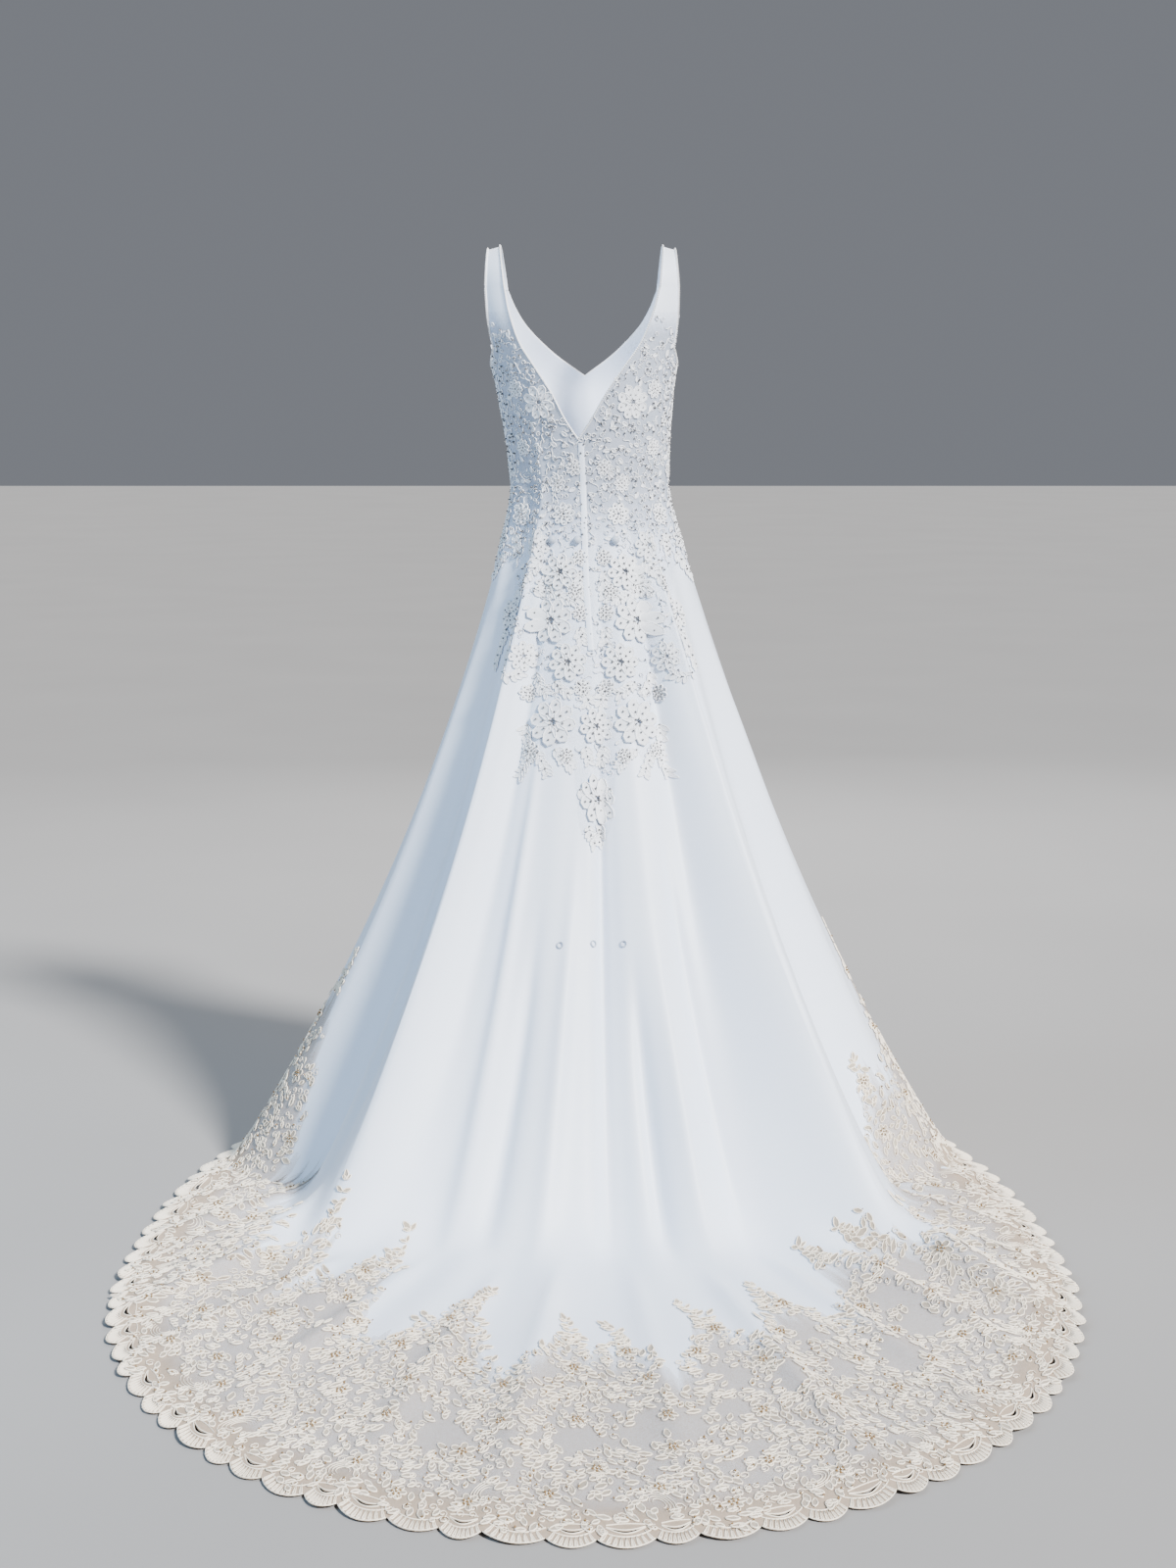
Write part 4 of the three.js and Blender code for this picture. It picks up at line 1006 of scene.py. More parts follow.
nets = {}
for cut, mirror, name in [
    ("back", False, "bodice_lace_back_right"),
    ("back", True, "bodice_lace_back_left"),
    ("side", False, "bodice_lace_side_right"),
    ("side", True, "bodice_lace_side_left"),
    ("front", False, "bodice_lace_front"),
]:
    angle, level = bodice_net(cut, mirror)
    points = raised(angle, level, NET_LIFT)
    over_hip = smooth(np.clip((level - HIP_LEVEL) / HIP_BLEND, 0, 1))
    below_top = smooth(np.clip((LACE_TOP - level) / TOP_FADE, 0, 1))
    cover = NET_COVER * over_hip * below_top
    net = add_piece(f"net_{name}", sheet_mesh(name, points, None, cover), shaded_white_net, [name])
    nets[name] = (net, points)
print("bodice nets", list(nets))


# %% Scatter helpers
def blue_places(angle, level, spacing):
    """Keeps the places that are not too close to an earlier one."""
    points = dress_point(angle, level)
    spacing = np.broadcast_to(spacing, len(points))
    cells = {}
    kept = []
    for k, key in enumerate(map(tuple, np.floor(points / spacing.max()).astype(int))):
        near = [
            m
            for a in (-1, 0, 1)
            for b in (-1, 0, 1)
            for c in (-1, 0, 1)
            for m in cells.get((key[0] + a, key[1] + b, key[2] + c), ())
        ]
        if all(np.sum((points[k] - points[m]) ** 2) > spacing[k] ** 2 for m in near):
            cells.setdefault(key, []).append(k)
            kept.append(k)
    return np.array(kept, int)


def clear_of(angle, level, flowers, margin):
    """True where a place is outside all the flowers."""
    spots = dress_point(angle, level)
    free = np.ones(len(spots), bool)
    for at, height, radius in flowers:
        free &= np.linalg.norm(spots - dress_point(at, height), axis=1) > radius + margin
    return free


# %% Large flowers of the bodice
# lift, cord and bead of a large flower over the hips, and of one on the bodice, where the lace is finer
HIP_FLOWER, BODICE_FLOWER = (0.0036, 0.0014, 0.0019), (0.0022, 0.0010, 0.0012)
silver = Pile()
large_flowers = {}
for k, (at, height, radius) in enumerate(LARGE_FLOWERS):
    for sign, side in ((1, "right"), (-1, "left")):
        large_flowers[f"lace_flower_{side}_{k + 1}"] = (sign * at, height, radius)
for name, height, radius in CENTRE_FLOWERS:
    large_flowers[name] = (0.0, height, radius)
for name, (at, height, radius) in large_flowers.items():
    pile = Pile()
    lift, cord, bead = HIP_FLOWER if height < WAIST else BODICE_FLOWER
    place = np.array([at], float), np.array([height]), np.array([radius])
    add_flowers(pile, silver, *place, lift, cord=cord, bead=bead)
    add_piece(f"cord_{name}", pile.mesh(name), white_thread, [name])

# %% Small flowers and sprays of the bodice
# the angle where the cords of the back give way to those round the front, and where the lace is finer
BACK_ENDS, FINE_ABOVE = 62, 1.08
SPRAY_STEP, SPRAY_LEAN, SPRAY_BEAD = 0.0072, 0.75, 0.0018
back_cords, round_cords = Pile(), Pile()
for pile, low, high in ((back_cords, 0, BACK_ENDS), (round_cords, BACK_ENDS, 181)):
    chosen = [row for row in SMALL_FLOWERS if low <= row[0] < high]
    small = np.array([(sign * at, height, radius) for at, height, radius in chosen for sign in (1, -1)])
    fine = small[:, 1] > FINE_ABOVE
    add_flowers(pile, silver, *small[fine].T, cord=0.0009, bead=0.0010)
    add_flowers(pile, silver, *small[~fine].T, cord=0.0011, bead=0.0014)

for line in SPRAYS:
    nodes = np.array(line)
    run = np.linalg.norm(np.diff(dress_point(nodes[:, 0], nodes[:, 1]), axis=0), axis=1)
    along = np.concatenate([[0], np.cumsum(run)])
    steps = np.arange(0, along[-1], SPRAY_STEP)
    for sign in (1, -1):
        angle = sign * np.interp(steps, along, nodes[:, 0])
        level = np.interp(steps, along, nodes[:, 1])
        ahead = dress_point(angle, level)
        seen_side = np.sign(np.cos(np.radians(angle)))
        course = np.arctan2(np.gradient(ahead[:, 2]), np.gradient(ahead[:, 0]) * seen_side)
        pile = back_cords if abs(nodes[0, 0]) < BACK_ENDS else round_cords
        for lean in (SPRAY_LEAN, -SPRAY_LEAN):
            turn = course - math.pi / 2 + lean + chance.uniform(-0.2, 0.2, len(angle))
            add_leaves(pile, angle, level, turn, chance.uniform(0.010, 0.015, len(angle)))
        every_other = angle[::2], level[::2], 0 * angle[::2], np.ones(len(angle[::2]))
        spots, normals = lay(*every_other, SPOT)
        add_beads(silver, spots, normals, BEAD_LIFT, SPRAY_BEAD)
print("back cords so far", back_cords.total, "corners, round the front", round_cords.total)

# %% [markdown]
# The small motifs fill what is left. Many places are tried at random, and a place stays only inside the lace,
# clear of the flowers and buttons, and not too near an earlier one. Over the hips fewer stay, so that the
# satin shows between the flowers.

# %% Room for the buttons
BUTTONS_ACROSS = (-0.0555, -0.0215, 0.0345)
BUTTON_HEIGHT, BUTTON_ROOM = 1.022, 0.008


def spot_across(across, height):
    """The angle and height of a place on the back, from its distance to the middle."""
    reach = skirt_radius(np.array([0.0]), np.array([1 - height / WAIST]))
    return np.degrees(np.arcsin(across / reach)), np.array([height])


button_angles = [float(spot_across(across, BUTTON_HEIGHT)[0][0]) for across in BUTTONS_ACROSS]
button_places = [(at, BUTTON_HEIGHT, BUTTON_ROOM) for at in button_angles]
bodice_flowers = list(large_flowers.values())
bodice_flowers += [(sign * at, height, radius) for at, height, radius in SMALL_FLOWERS for sign in (1, -1)]
print("buttons at", [round(at, 1) for at in button_angles], "degrees")

# %% Places of the small motifs
LACE_LOW, WIDE_RADIUS, EDGE_MARGIN, NO_LIMIT = 0.57, 0.25, 0.006, 2.0
BACK_SPACING, FRONT_SPACING, WIDER_FROM = 0.0062, 0.0084, 95
# the hips are open below a level, over a height and for a share; the motifs fade out at the top
OPEN_BELOW, OPEN_RUN, OPEN_SHARE, MOTIF_FADE = 1.04, 0.14, 0.66, 0.045
tries = 36000
angle = chance.uniform(-180, 180, tries)
level = chance.uniform(LACE_LOW, LACE_TOP, tries)
share_of_width = np.hypot(*dress_point(angle, level)[:, :2].T) / WIDE_RADIUS
keep = chance.uniform(0, 1, tries) < share_of_width
angle, level = angle[keep], level[keep]
neck = np.interp(level, neck_heights, neck_angles)
turned = np.abs(angle)
arm = np.where(level > ARMHOLE[0, 0], np.interp(level, armhole_heights, armhole_angles), 180.0)
from_middle = np.abs(angle - read(CENTRE_LEAN, level))
on_back = (turned < 90) & ((level < NECK_BACK_LOW) | (from_middle > neck + 2.5)) & (turned < arm - 2.0)
on_back &= level < np.where(turned > UNDERARM[0, 0], read(UNDERARM, turned) - EDGE_MARGIN, NO_LIMIT)
front_shares = np.clip((1 + (180 - turned) / front_half_angle(level) * np.sign(-angle)) / 2, 0, 1)
side_limit = np.where(turned < SIDE_FRONT, read(UNDERARM, turned), NO_LIMIT)
front_limit = np.minimum(front_top(front_shares), side_limit)
on_front = (turned >= 90) & (level < front_limit - EDGE_MARGIN)
inside = (on_back | on_front) & (level > edge_height(angle) + EDGE_MARGIN)
angle, level = angle[inside], level[inside]
open_hip = np.clip((OPEN_BELOW - level) / OPEN_RUN, 0, 1)
kept = blue_places(angle, level, np.where(np.abs(angle) < WIDER_FROM, BACK_SPACING, FRONT_SPACING))
angle, level, open_hip = angle[kept], level[kept], open_hip[kept]
free = clear_of(angle, level, bodice_flowers, 0.001)
free &= chance.uniform(0, 1, len(angle)) > OPEN_SHARE * open_hip
free &= chance.uniform(0, 1, len(angle)) > np.clip((level - LACE_TOP + MOTIF_FADE) / MOTIF_FADE, 0, 1)
free &= clear_of(angle, level, button_places, 0.002)
angle, level = angle[free], level[free]
print("places for small motifs", len(angle))


# %% Small leaves, curls and waves
def add_waves(pile, angle, level, turn, size):
    """Curls along the path of a wave."""
    add_curls(pile, angle, level, turn, size, path=WAVE)


# first and last share of the draw, how it is added, least and greatest size
SMALL_MOTIFS = [
    (0.0, 0.20, add_leaves, 0.008, 0.012),
    (0.20, 0.68, add_curls, 0.0036, 0.0054),
    (0.68, 1.0, add_waves, 0.007, 0.010),
]
BEADED_SHARE, BESIDE = 0.56, np.array([(0.6, 0.5)])
kind = chance.uniform(0, 1, len(angle))
turn = chance.uniform(0, 2 * math.pi, len(angle))
on_back = np.abs(angle) < BACK_ENDS
for pile, near in ((back_cords, on_back), (round_cords, ~on_back)):
    for first, last, add_motifs, least, most in SMALL_MOTIFS:
        chosen = near & (kind >= first) & (kind < last)
        size = chance.uniform(least, most, chosen.sum())
        add_motifs(pile, angle[chosen], level[chosen], turn[chosen], size)
some = chance.uniform(0, 1, len(angle)) < BEADED_SHARE
spots, normals = lay(angle[some], level[some], turn[some], np.full(some.sum(), 0.004), BESIDE)
add_beads(silver, spots, normals, BEAD_LIFT, chance.uniform(0.0013, 0.0021, some.sum()))
print("bodice motifs", len(angle), "single beads", int(some.sum()))

for name, pile in (("cords_bodice_back", back_cords), ("cords_bodice_round", round_cords)):
    add_piece(name, pile.mesh(name), white_thread)
add_piece("beads_bodice", silver.mesh("beads_bodice"), shaded_silver_bead)

# %% [markdown]
# ## Lace of the hem
# The border is a separate band of ivory lace. Its edge is cut round the scallops, each a ribbed shell with
# a crescent slit above it, and its inner edge climbs the cloth in pointed sprays of leaves. Gold beads sit in
# small clusters.

# %% Where the hem lace lies
# angle, how far its inner edge is from the tips of the scallops
INNER_EDGE = np.array([
    (-180, 0.27), (-172, 0.17), (-162, 0.28), (-152, 0.17), (-142, 0.28), (-131, 0.18), (-121, 0.30),
    (-110, 0.22), (-99, 0.40), (-89, 0.25), (-79, 0.48), (-69, 0.22), (-60, 0.34), (-53, 0.21), (-47, 0.33),
    (-42, 0.28), (-38, 0.495), (-33, 0.36), (-27, 0.625), (-20, 0.39), (-13, 0.685), (-7.5, 0.42),
    (-2, 0.645), (0.5, 0.52), (2.8, 0.643), (6, 0.41), (10.5, 0.664), (15, 0.45), (18.2, 0.61), (24.5, 0.40),
    (30, 0.57), (33, 0.42), (36, 0.484), (41, 0.29), (48, 0.22), (57, 0.33), (66, 0.22), (74, 0.36),
    (82, 0.25), (92, 0.456), (101, 0.24), (111, 0.32), (121, 0.19), (131, 0.29), (142, 0.17), (152, 0.28),
    (162, 0.17), (172, 0.28), (180, 0.27),
])
# first and last angle of each part, scallops
BORDERS = {
    "hem_lace_back_right": (0, PRINCESS, 16),
    "hem_lace_back_left": (-PRINCESS, 0, 16),
    "hem_lace_side_right": (PRINCESS, SIDE_FRONT, 16),
    "hem_lace_side_left": (-SIDE_FRONT, -PRINCESS, 16),
    "hem_lace_front": (SIDE_FRONT, 360 - SIDE_FRONT, 20),
}
# columns in a scallop, and the row of the grid that the slits are cut from
CELLS, SLIT_ROW = 14, 20
# where a slit starts and ends across its scallop; how far in it is, how it bows and how wide it opens
SLIT_START, SLIT_END, SLIT_IN, SLIT_BOW, SLIT_OPEN = 0.24, 0.76, 0.046, 0.012, 0.0046
# the depth of the band of scallops, and the net's height over the satin and over the floor
EDGE_BAND, HEM_NET_LIFT, FLOOR_LIFT = 0.075, 0.0011, 0.0006
print("scallops", sum(scallops for _, _, scallops in BORDERS.values()))


# %% Outline of the border
def inner_depth(angle):
    """The inner edge: a wavy line through the table's points, from which the sprays stand up."""
    wander = 0.018 * np.sin(angle * 2.9) + 0.012 * np.sin(angle * 6.7 + 1.0)
    shifts = (-1.6, -0.8, 0.0, 0.8, 1.6)
    near = [np.interp(wrap(angle + shift), INNER_EDGE[:, 0], INNER_EDGE[:, 1]) for shift in shifts]
    return sum(near) / len(shifts) + wander


def scallop_share(first, scallops, place):
    """The share of a border at a place counted in scallops. No two scallops are quite as wide."""
    k = np.arange(scallops + 1)
    uneven = k + 0.11 * np.sin(2.3 * k + first) * (k > 0) * (k < scallops)
    return np.interp(place, k, uneven) / scallops


def scallop_depth(t, place):
    """How far the scalloped edge is in from its tips, at a share of one scallop's width."""
    reach = 1 - 0.16 * np.abs(np.sin(1.7 * np.floor(place)))
    return SCALLOP_DEPTH * (1 - reach * np.abs(np.sin(math.pi * t)) ** 0.7)


def has_slit(place):
    """Three scallops in five have a slit."""
    return np.floor(place) * 7 % 5 < 3


def edge_drop(depth):
    """The scallops lie beyond the satin, so they sink to the floor."""
    return 0.0017 * smooth(np.clip(1 - depth / 0.07, 0, 1))


# %% Net of the border
def border_points(first, last, scallops):
    """The border's ground: the rows, the slits between two of them, and how solid it is."""
    place = np.linspace(0, scallops, scallops * CELLS + 1)
    angle = even_hem_angles(first, last, scallop_share(first, scallops, place))
    t = place % 1
    edge = scallop_depth(t, place)
    inside = (t > SLIT_START) & (t < SLIT_END) & has_slit(place)
    bow = np.where(inside, np.sin(math.pi * (t - SLIT_START) / (SLIT_END - SLIT_START)), 0.0)
    slit_low = SLIT_IN - SLIT_BOW * bow
    slit_high = slit_low + 0.0005 + SLIT_OPEN * bow
    inner = inner_depth(angle) - 0.012
    inward = np.linspace(0, 1, 18)[:, None]
    depth = np.concatenate([
        mix(inner[None], EDGE_BAND, inward[:-1] ** 0.9),
        mix(EDGE_BAND, slit_high[None], np.linspace(0, 1, 4)[:, None]),
        mix(slit_low[None], edge[None], np.linspace(0, 1, 6)[:, None]),
    ])
    gaps = np.zeros((depth.shape[0] - 1, depth.shape[1] - 1), bool)
    gaps[SLIT_ROW] = inside[:-1] & inside[1:]
    cover = np.clip(1.5 - depth / 0.10, 0.36, 0.95) * smooth(np.clip((inner - depth) / 0.09, 0, 1))
    return angle[None] + 0 * depth, depth, gaps, cover


for name, (first, last, scallops) in BORDERS.items():
    angle, depth, gaps, cover = border_points(first, last, scallops)
    points = raised(angle, level_from_edge(angle, depth), HEM_NET_LIFT)
    points[..., 2] = np.maximum(points[..., 2] - edge_drop(depth), FLOOR_LIFT - SHOULDER)
    net = add_piece(f"net_{name}", sheet_mesh(name, points, gaps, cover), shaded_ivory_net, [name])

# %% [markdown]
# Each scallop is embroidered as a shell: two cords along its edge, nine slim ribs between them, and three
# cords round the slit above it. All scallops of a border are swept at once.

# %% Shells along the edge
EDGE_CORD, EDGE_LIFT = 0.0009, 0.0012
RIBS, RIB_DEPTH, RIB_SHADE = 9, 0.0240, 0.3
# one rib's outline: how far from its root to its tip, and how far to which side
RIB_LONG = np.array([0.0, 0.35, 0.8, 1.0, 0.8, 0.35])
RIB_WIDE = np.array([0.0, 0.7, 1.0, 0.0, -1.0, -0.7]) * 0.30 / RIBS
edge_cords = Pile()
for first, last, scallops in BORDERS.values():
    count = np.arange(scallops)[:, None]

    def along(t, depth, chosen=slice(None)):
        """Points and normals at shares of each scallop's width and distances in from its tip."""
        angle = even_hem_angles(first, last, scallop_share(first, scallops, count[chosen] + t))
        level = level_from_edge(angle, depth + 0 * angle)
        normals = dress_frame(angle, level)[2]
        return dress_point(angle, level) - normals * edge_drop(depth)[..., None], normals

    t = np.linspace(0.02, 0.98, 15)
    for inset, cord in ((0.0012, EDGE_CORD), (0.0255, 0.0010)):
        edge_cords.add(*sweep(*along(t, scallop_depth(t, count + 0.5) + inset), cord, False, EDGE_LIFT))
    slit = np.linspace(0.16, 0.84, 11)
    bow = np.sin(math.pi * (slit - 0.16) / 0.68)
    cut_ones = np.flatnonzero(has_slit(count[:, 0]))
    for depth in (0.0468 - 0.0135 * bow, 0.0482 - 0.0070 * bow, 0.0530 + 0.0030 * bow):
        edge_cords.add(*sweep(*along(slit, depth, cut_ones), EDGE_CORD, False, EDGE_LIFT))
    for k in range(RIBS):
        middle = (k + 0.5) / RIBS
        root = 0.5 + (middle - 0.5) * 0.72
        t = mix(root, middle, RIB_LONG) + RIB_WIDE * (0.6 + 0.4 * RIB_LONG)
        tip = scallop_depth(middle, count + 0.5)
        rib = along(t, mix(tip + RIB_DEPTH, tip + 0.0005, RIB_LONG))
        edge_cords.add(*sweep(*rib, EDGE_CORD, True, EDGE_LIFT, fill=True), shade=RIB_SHADE)
add_piece("cords_hem_edge", edge_cords.mesh("cords_hem_edge"), ivory_thread)

# %% [markdown]
# The border is filled as the bodice is: flowers first, then scrolls above the scallops, then leaves and curls
# that flow round them. Patches of bare net stay open between, and sprays of leaves stand on the tips of the
# inner edge.

# %% Which border a place is on
hem_piles = {name: Pile() for name in BORDERS}
amber = Pile()


def border_of(angle):
    """The name of the border that holds each angle."""
    turned = wrap(angle)
    half = PRINCESS / 2
    on_front = np.abs(turned) > SIDE_FRONT
    on_right, on_left = np.abs(turned - half) < half, np.abs(turned + half) < half
    at = np.select([on_front, on_right, on_left, turned > 0], [4, 0, 1, 2], 3)
    return np.array(list(BORDERS))[at]


def scallop_place(angle):
    """Places counted in scallops along the border that holds each angle."""
    names = border_of(angle)
    place = np.zeros(len(angle))
    for name, (first, last, scallops) in BORDERS.items():
        mine = names == name
        ends = np.interp([wrap(first), wrap(last)], hem_angles, hem_length)
        run = (np.interp(wrap(angle[mine]), hem_angles, hem_length) - ends[0]) % hem_length[-1]
        share = run / ((ends[1] - ends[0]) % hem_length[-1])
        marks = np.arange(scallops + 1)
        place[mine] = np.interp(share, scallop_share(first, scallops, marks), marks)
    return place


# %% Places on the border
FRONT_SHARE, SHELL_DEPTH, SLIT_CLEAR = 0.6, 0.020, 0.056
# the deep fold beside the left princess seam is bare above the floor: its angle, half width, lowest level
BARE_FOLD, BARE_HALF, BARE_LEVEL = -60, 11, -0.03
tries = 130000
angle = even_hem_angles(-179.99, 179.99, chance.uniform(0, 1, tries))
depth = chance.uniform(SHELL_DEPTH, 0.69, tries)
fade = chance.uniform(0, 1, tries)
keep = depth < inner_depth(angle) - 0.010
keep &= fade < np.where(np.abs(angle) > SIDE_FRONT, FRONT_SHARE, 1.0)
angle, depth = angle[keep], depth[keep]
place = scallop_place(angle)
beside_slit = (np.abs(place % 1 - 0.5) > 0.36) | ~has_slit(place) | (depth > SLIT_CLEAR)
keep = beside_slit & (depth > scallop_depth(place % 1, place) + SHELL_DEPTH)
angle, depth = angle[keep], depth[keep]
level = level_from_edge(angle, depth)
bare = (np.abs(angle - BARE_FOLD) < BARE_HALF) & (level > BARE_LEVEL)
angle, depth, level = angle[~bare], depth[~bare], level[~bare]
print("places on the border", len(angle))

# %% Flowers of the border
FLOWER_SPACING, FLOWER_MARGIN, MOST_TRIES = 0.086, 0.035, 4000
flower_room = depth < inner_depth(angle) - FLOWER_MARGIN
picks = np.flatnonzero(flower_room & (depth > EDGE_BAND))[:MOST_TRIES]
centres = picks[blue_places(angle[picks], level[picks], FLOWER_SPACING)]
sizes = chance.uniform(0.012, 0.018, len(centres))
names = border_of(angle[centres])
for name, pile in hem_piles.items():
    mine = names == name
    place = angle[centres][mine], level[centres][mine]
    add_flowers(pile, amber, *place, sizes[mine], lift=CORD_LIFT, petals=6, cord=0.0010, bead=None)
print("hem flowers", len(centres))

# %% Scrolls above the scallops
SCROLL_SIZES = (0.0095, 0.0145, 0.0195, 0.0245)
scroll_angle, scroll_level = [], []
for first, last, scallops in BORDERS.values():
    every_third = np.arange(scallops)[1::3]
    place = every_third + chance.uniform(0.2, 0.8, len(every_third))
    turned = even_hem_angles(first, last, place / scallops)
    scroll_angle.append(turned)
    scroll_level.append(level_from_edge(turned, chance.uniform(0.080, 0.115, len(turned))))
scroll_angle, scroll_level = np.concatenate(scroll_angle), np.concatenate(scroll_level)
scroll_turn = chance.uniform(0, 2 * math.pi, len(scroll_angle))
names = border_of(scroll_angle)
for name, pile in hem_piles.items():
    mine = names == name
    for size in SCROLL_SIZES:
        place = scroll_angle[mine], scroll_level[mine], scroll_turn[mine], np.full(mine.sum(), size)
        add_curls(pile, *place, cord=0.0008, path=SCROLL)
print("scrolls", len(scroll_angle))

# %% Room for the leaves and curls
FLOWER_ROOM, SCROLL_ROOM = 0.002, 0.022
LEAF_SPACING, FRONT_LEAF_SPACING = 0.0106, 0.0125
# patches of bare net: how many, least depth, least and greatest size, weight of distances along the train
BARE_PATCHES = [(110, 0.07, 0.011, 0.022, 1.0), (34, 0.22, 0.020, 0.032, 0.45)]
spots = dress_point(angle, level)
flower_spots = dress_point(angle[centres], level[centres])
scroll_spots = dress_point(scroll_angle, scroll_level)
free = np.ones(len(spots), bool)
for centre, size in zip(flower_spots, sizes):
    free &= np.sum((spots - centre) ** 2, 1) > (size + FLOWER_ROOM) ** 2
for centre in scroll_spots:
    free &= np.sum((spots - centre) ** 2, 1) > SCROLL_ROOM ** 2
for patches, least_depth, least, most, weight in BARE_PATCHES:
    for k in chance.choice(np.flatnonzero(depth > least_depth), patches, replace=False):
        apart = np.sum((spots - spots[k]) ** 2 * (1.0, weight, 1.0), 1)
        free &= apart > chance.uniform(least, most) ** 2
angle, depth, level = angle[free], depth[free], level[free]
kept = blue_places(angle, level, np.where(np.abs(angle) > SIDE_FRONT, FRONT_LEAF_SPACING, LEAF_SPACING))
angle, depth, level = angle[kept], depth[kept], level[kept]
print("places for leaves and curls", len(angle))

# %% Leaves and curls of the border
LEAF_SHARE = 0.68
kind = chance.uniform(0, 1, len(angle))
flow = 1.3 * np.sin(angle * 0.55 + depth * 31) + chance.normal(0, 0.6, len(angle))
names = border_of(angle)
for name, pile in hem_piles.items():
    mine = names == name
    leaf, curl = mine & (kind < LEAF_SHARE), mine & (kind >= LEAF_SHARE)
    size = chance.uniform(0.011, 0.018, leaf.sum())
    add_leaves(pile, angle[leaf], level[leaf], flow[leaf], size, cord=0.0011)
    size = chance.uniform(0.005, 0.007, curl.sum())
    add_curls(pile, angle[curl], level[curl], flow[curl], size, cord=0.0010)
print("hem motifs", len(angle))

# %% Sprays on the tips of the inner edge
# low tips in the folds at either side have no spray
LOW_TIP, FOLDS_END, SPRAY_ROOT, SPRAY_LENGTH = 0.36, 70, 0.070, 0.072
tips = [k for k in range(1, len(INNER_EDGE) - 1) if INNER_EDGE[k, 1] > max(INNER_EDGE[[k - 1, k + 1], 1])]
tips = [k for k in tips if INNER_EDGE[k, 1] > LOW_TIP or abs(INNER_EDGE[k, 0]) > FOLDS_END]
steps = np.linspace(0, 1, 6)
for tip_angle, tip_depth in INNER_EDGE[tips]:
    bend = chance.uniform(-1.6, 1.6)
    stem = tip_angle + bend * steps ** 2
    stem_level = level_from_edge(stem, tip_depth - SPRAY_ROOT + SPRAY_LENGTH * steps)
    pile = hem_piles[str(border_of(np.array([tip_angle]))[0])]
    heading = -bend * 0.45 * steps
    for lean in (1.0, -1.0):
        turn = heading + lean + chance.uniform(-0.5, 0.5, len(stem))
        size = mix(0.018, 0.011, steps) * chance.uniform(0.8, 1.2, len(stem))
        add_leaves(pile, stem, stem_level, turn, size, cord=0.0011)
    add_leaves(pile, stem[-1:], stem_level[-1:], heading[-1:], np.array([0.016]), cord=0.0011)
print("sprays on the inner edge", len(tips))

# %% Single beads of the border
SINGLES, ABOVE = 1500, np.array([(0.0, 0.003)])
singles = chance.choice(len(angle), SINGLES, replace=False)
spots, normals = lay(angle[singles], level[singles], 0.0 * singles, np.ones(SINGLES), ABOVE)
add_beads(amber, spots, normals, 0.0020, chance.uniform(0.0012, 0.0018, SINGLES))

for name, pile in hem_piles.items():
    add_piece(f"cords_{name}", pile.mesh(f"cords_{name}"), ivory_thread)
add_piece("beads_hem", amber.mesh("beads_hem"), amber_bead)

# %% [markdown]
# ## Edges, buttons and loops
# A fine cord with small beads binds the neck, the armholes and both edges of the straps. It is swept along
# the lines that the panels end on, so it covers their raw edges.

# %% Bound and beaded edges
BINDING, BINDING_LIFT = 0.0016, -0.0004
EDGE_BEAD, EDGE_BEAD_LIFT, EDGE_BEAD_SPACING = 0.0011, 0.0018, 0.0034
edging, edge_beads = Pile(), Pile()


def bind(points, normals):
    """A cord along a line of points, with beads on it."""
    edging.add(*sweep(points[None], normals[None], BINDING, False, BINDING_LIFT, sides=5))
    run = np.concatenate([[0], np.cumsum(np.linalg.norm(np.diff(points, axis=0), axis=1))])
    steps = np.arange(0, run[-1], EDGE_BEAD_SPACING)
    spots = np.stack([np.interp(steps, run, points[:, k]) for k in range(3)], 1)
    facing = unit(np.stack([np.interp(steps, run, normals[:, k]) for k in range(3)], 1))
    edge_beads.add(*beads_at(spots + facing * EDGE_BEAD_LIFT, facing, EDGE_BEAD))


def bind_line(angles, heights):
    """A bound edge along a line of the cloth."""
    bind(dress_point(angles, heights), dress_frame(angles, heights)[2])


for sign in (1, -1):
    bind_line(sign * neck_angles + read(CENTRE_LEAN, neck_heights), neck_heights)
    bind_line(sign * armhole_angles, armhole_heights)
    under = np.linspace(UNDERARM[0, 0], SIDE_FRONT, 40)
    bind_line(sign * under, read(UNDERARM, under))
    strap = strap_points(sign)
    facing = unit(np.cross(np.gradient(strap, axis=1), -np.gradient(strap, axis=0)))
    for column in (0, -1):
        bind(strap[:, column], facing[:, column])
    shares = np.linspace(0.5, (1 + sign * NECK_SHARE) / 2, 60)
    heights = front_top(shares)
    bind_line(front_angle(shares, heights), heights)
add_piece("cord_edges", edging.mesh("cord_edges"), white_thread)
add_piece("beads_edges", edge_beads.mesh("beads_edges"), pearl_bead)

# %% [markdown]
# Three covered buttons at the hip take three thread loops lower down when the train is lifted. A button is a
# ball of satin with small pleats underneath, so a sphere is pushed in and out there. A loop is a ring of
# thread, swept as the cords are.

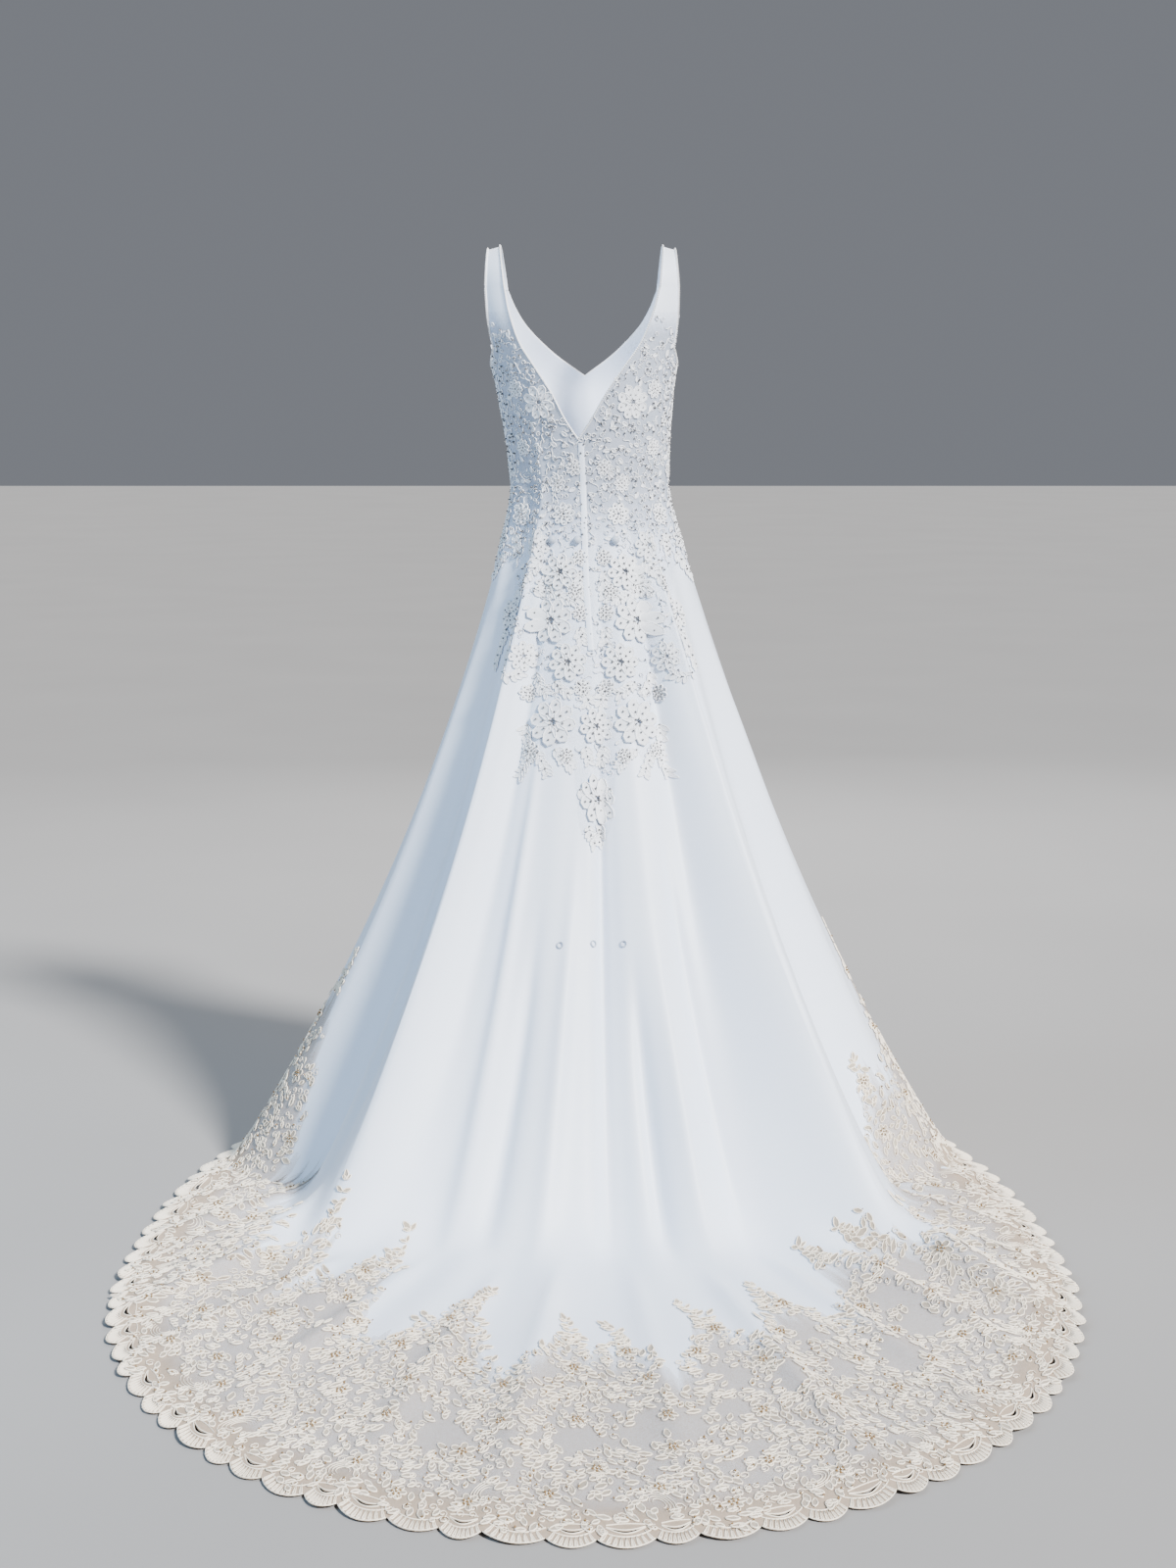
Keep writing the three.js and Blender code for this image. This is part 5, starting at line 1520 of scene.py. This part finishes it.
# %% Buttons and loops
BUTTON_RADIUS, BUTTON_LIFT, BUTTON_FLATTEN = 0.0064, 0.0056, 0.95
PLEATS, PLEAT_DEPTH = 10, 0.02
LOOP_RADIUS, LOOP_CORD, LOOP_LIFT = 0.0045, 0.0010, 0.0012
LOOP_HEIGHT, LOOP_SHIFT, LOOP_SPACING = 0.428, -0.004, 0.047
for k, side in enumerate(("left", "middle", "right")):
    angle, height = spot_across(BUTTONS_ACROSS[k], BUTTON_HEIGHT)
    centre, (_, _, normal) = dress_point(angle, height)[0], dress_frame(angle, height)
    button = bmesh.new()
    bmesh.ops.create_uvsphere(button, u_segments=24, v_segments=14, radius=BUTTON_RADIUS)
    east = unit(np.cross(normal[0], [0, 0, 1]))
    north = np.cross(normal[0], east)
    for corner in button.verts:
        x, y, z = corner.co
        pleat = 1 + PLEAT_DEPTH * math.cos(PLEATS * math.atan2(y, x)) * max(0.0, -z / BUTTON_RADIUS)
        outward = z * BUTTON_FLATTEN + BUTTON_LIFT
        corner.co = centre + pleat * (x * east + y * north) + outward * normal[0]
    bmesh.ops.recalc_face_normals(button, faces=button.faces)
    mesh = bpy.data.meshes.new(f"button_{side}")
    button.to_mesh(mesh)
    button.free()
    add_piece(f"covered_button_{side}", mesh, covered, [f"button_{side}"])
    angle, height = spot_across(LOOP_SHIFT + (k - 1) * LOOP_SPACING, LOOP_HEIGHT)
    points, normals = lay(angle, height, np.zeros(1), np.full(1, LOOP_RADIUS), RING)
    loop = Pile()
    loop.add(*sweep(points, normals, LOOP_CORD, True, LOOP_LIFT, sides=8))
    add_piece(f"thread_loop_{side}", loop.mesh(f"loop_{side}"), covered, [f"loop_{side}"])

# %% [markdown]
# ## Cuts of the cloth
# Each bodice net works out the name of the satin panel that it lies on.

for name, (net, points) in nets.items():
    under = "satin_front_panel"
    if name != "bodice_lace_front":
        place, side = name.split("_")[2:]
        under = f"satin_{place}_panel_{side}"

# %% [markdown]
# ## Studio
# A plain pale floor, a soft sun from behind the dress on the right, and three large soft lights: a cool one
# on the left, a warm one on the right and a white one in front. The camera stands behind the dress, higher
# than its waist, and looks a little down.

# %% Floor
floor = bmesh.new()
bmesh.ops.create_grid(floor, x_segments=1, y_segments=1, size=30)
for corner in floor.verts:
    corner.co.z = -SHOULDER
floor_mesh = bpy.data.meshes.new("floor")
floor.to_mesh(floor_mesh)
floor.free()
floor_piece = bpy.data.objects.new("floor", floor_mesh)
bpy.context.collection.objects.link(floor_piece)
pale, shader, start = new_material("pale_floor", {"Roughness": 0.8, "Specular IOR Level": 0.2})
where = start.node(*OBJECT_PLACE)
feed(shader, "Base Color", noise(start, where, 1.5).blend((0.27, 0.27, 0.275), (0.30, 0.30, 0.305)))
floor_mesh.materials.append(pale)
floor_piece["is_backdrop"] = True
print("floor at", -SHOULDER)

# %% Lights
world = bpy.data.worlds.new("studio")
bpy.context.scene.world = world
world.use_nodes = True
sky = world.node_tree.nodes["Background"]
sky.inputs["Color"].default_value = (0.27, 0.285, 0.32, 1)
sky.inputs["Strength"].default_value = 0.72

sun = bpy.data.lights.new("soft_sun", "SUN")
sun.energy = 10.4
sun.color = (1.0, 0.975, 0.94)
sun.angle = math.radians(9)
sun_lamp = bpy.data.objects.new("soft_sun", sun)
sun_lamp.rotation_euler = (math.radians(53), 0, math.radians(40))
bpy.context.collection.objects.link(sun_lamp)

# name, place, turn in degrees, size, watts, colour
for name, place, turn, size, power, colour in [
    ("left", (-3.0, -1.2, 0.6), (76, 0, -68), 2.0, 95, (0.50, 0.75, 1.0)),
    ("right", (3.2, -2.2, 1.4), (66, 0, 56), 2.0, 30, (1.0, 0.88, 0.74)),
    ("front", (0.4, 3.6, 1.2), (-68, 0, 4), 2.4, 120, (1.0, 0.98, 0.96)),
]:
    lamp = bpy.data.lights.new(name, "AREA")
    lamp.shape = "SQUARE"
    lamp.size = size
    lamp.energy = power
    lamp.color = colour
    light = bpy.data.objects.new(name, lamp)
    light.location = place
    light.rotation_euler = [math.radians(degrees) for degrees in turn]
    bpy.context.collection.objects.link(light)
    print("light", name, power, "W")

# %% Camera
# the lens in millimetres and in pixels of the frame, and how far above its middle the level line lies
LENS, LENS_PIXELS, LEVEL_PIXELS = 57.6, 2560, 400
CAMERA_PLACE = (0.0103, -4.0, 1.25 - SHOULDER)
camera = bpy.data.objects.new("camera", bpy.data.cameras.new("camera"))
bpy.context.collection.objects.link(camera)
camera.data.lens = LENS
camera.location = CAMERA_PLACE
camera.rotation_euler = (math.pi / 2 - math.atan(LEVEL_PIXELS / LENS_PIXELS), 0, 0)
bpy.context.scene.camera = camera
print("camera", CAMERA_PLACE)

# %% Measure and finish
low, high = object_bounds()
print("visual box", [round(v, 3) for v in low], [round(v, 3) for v in high])
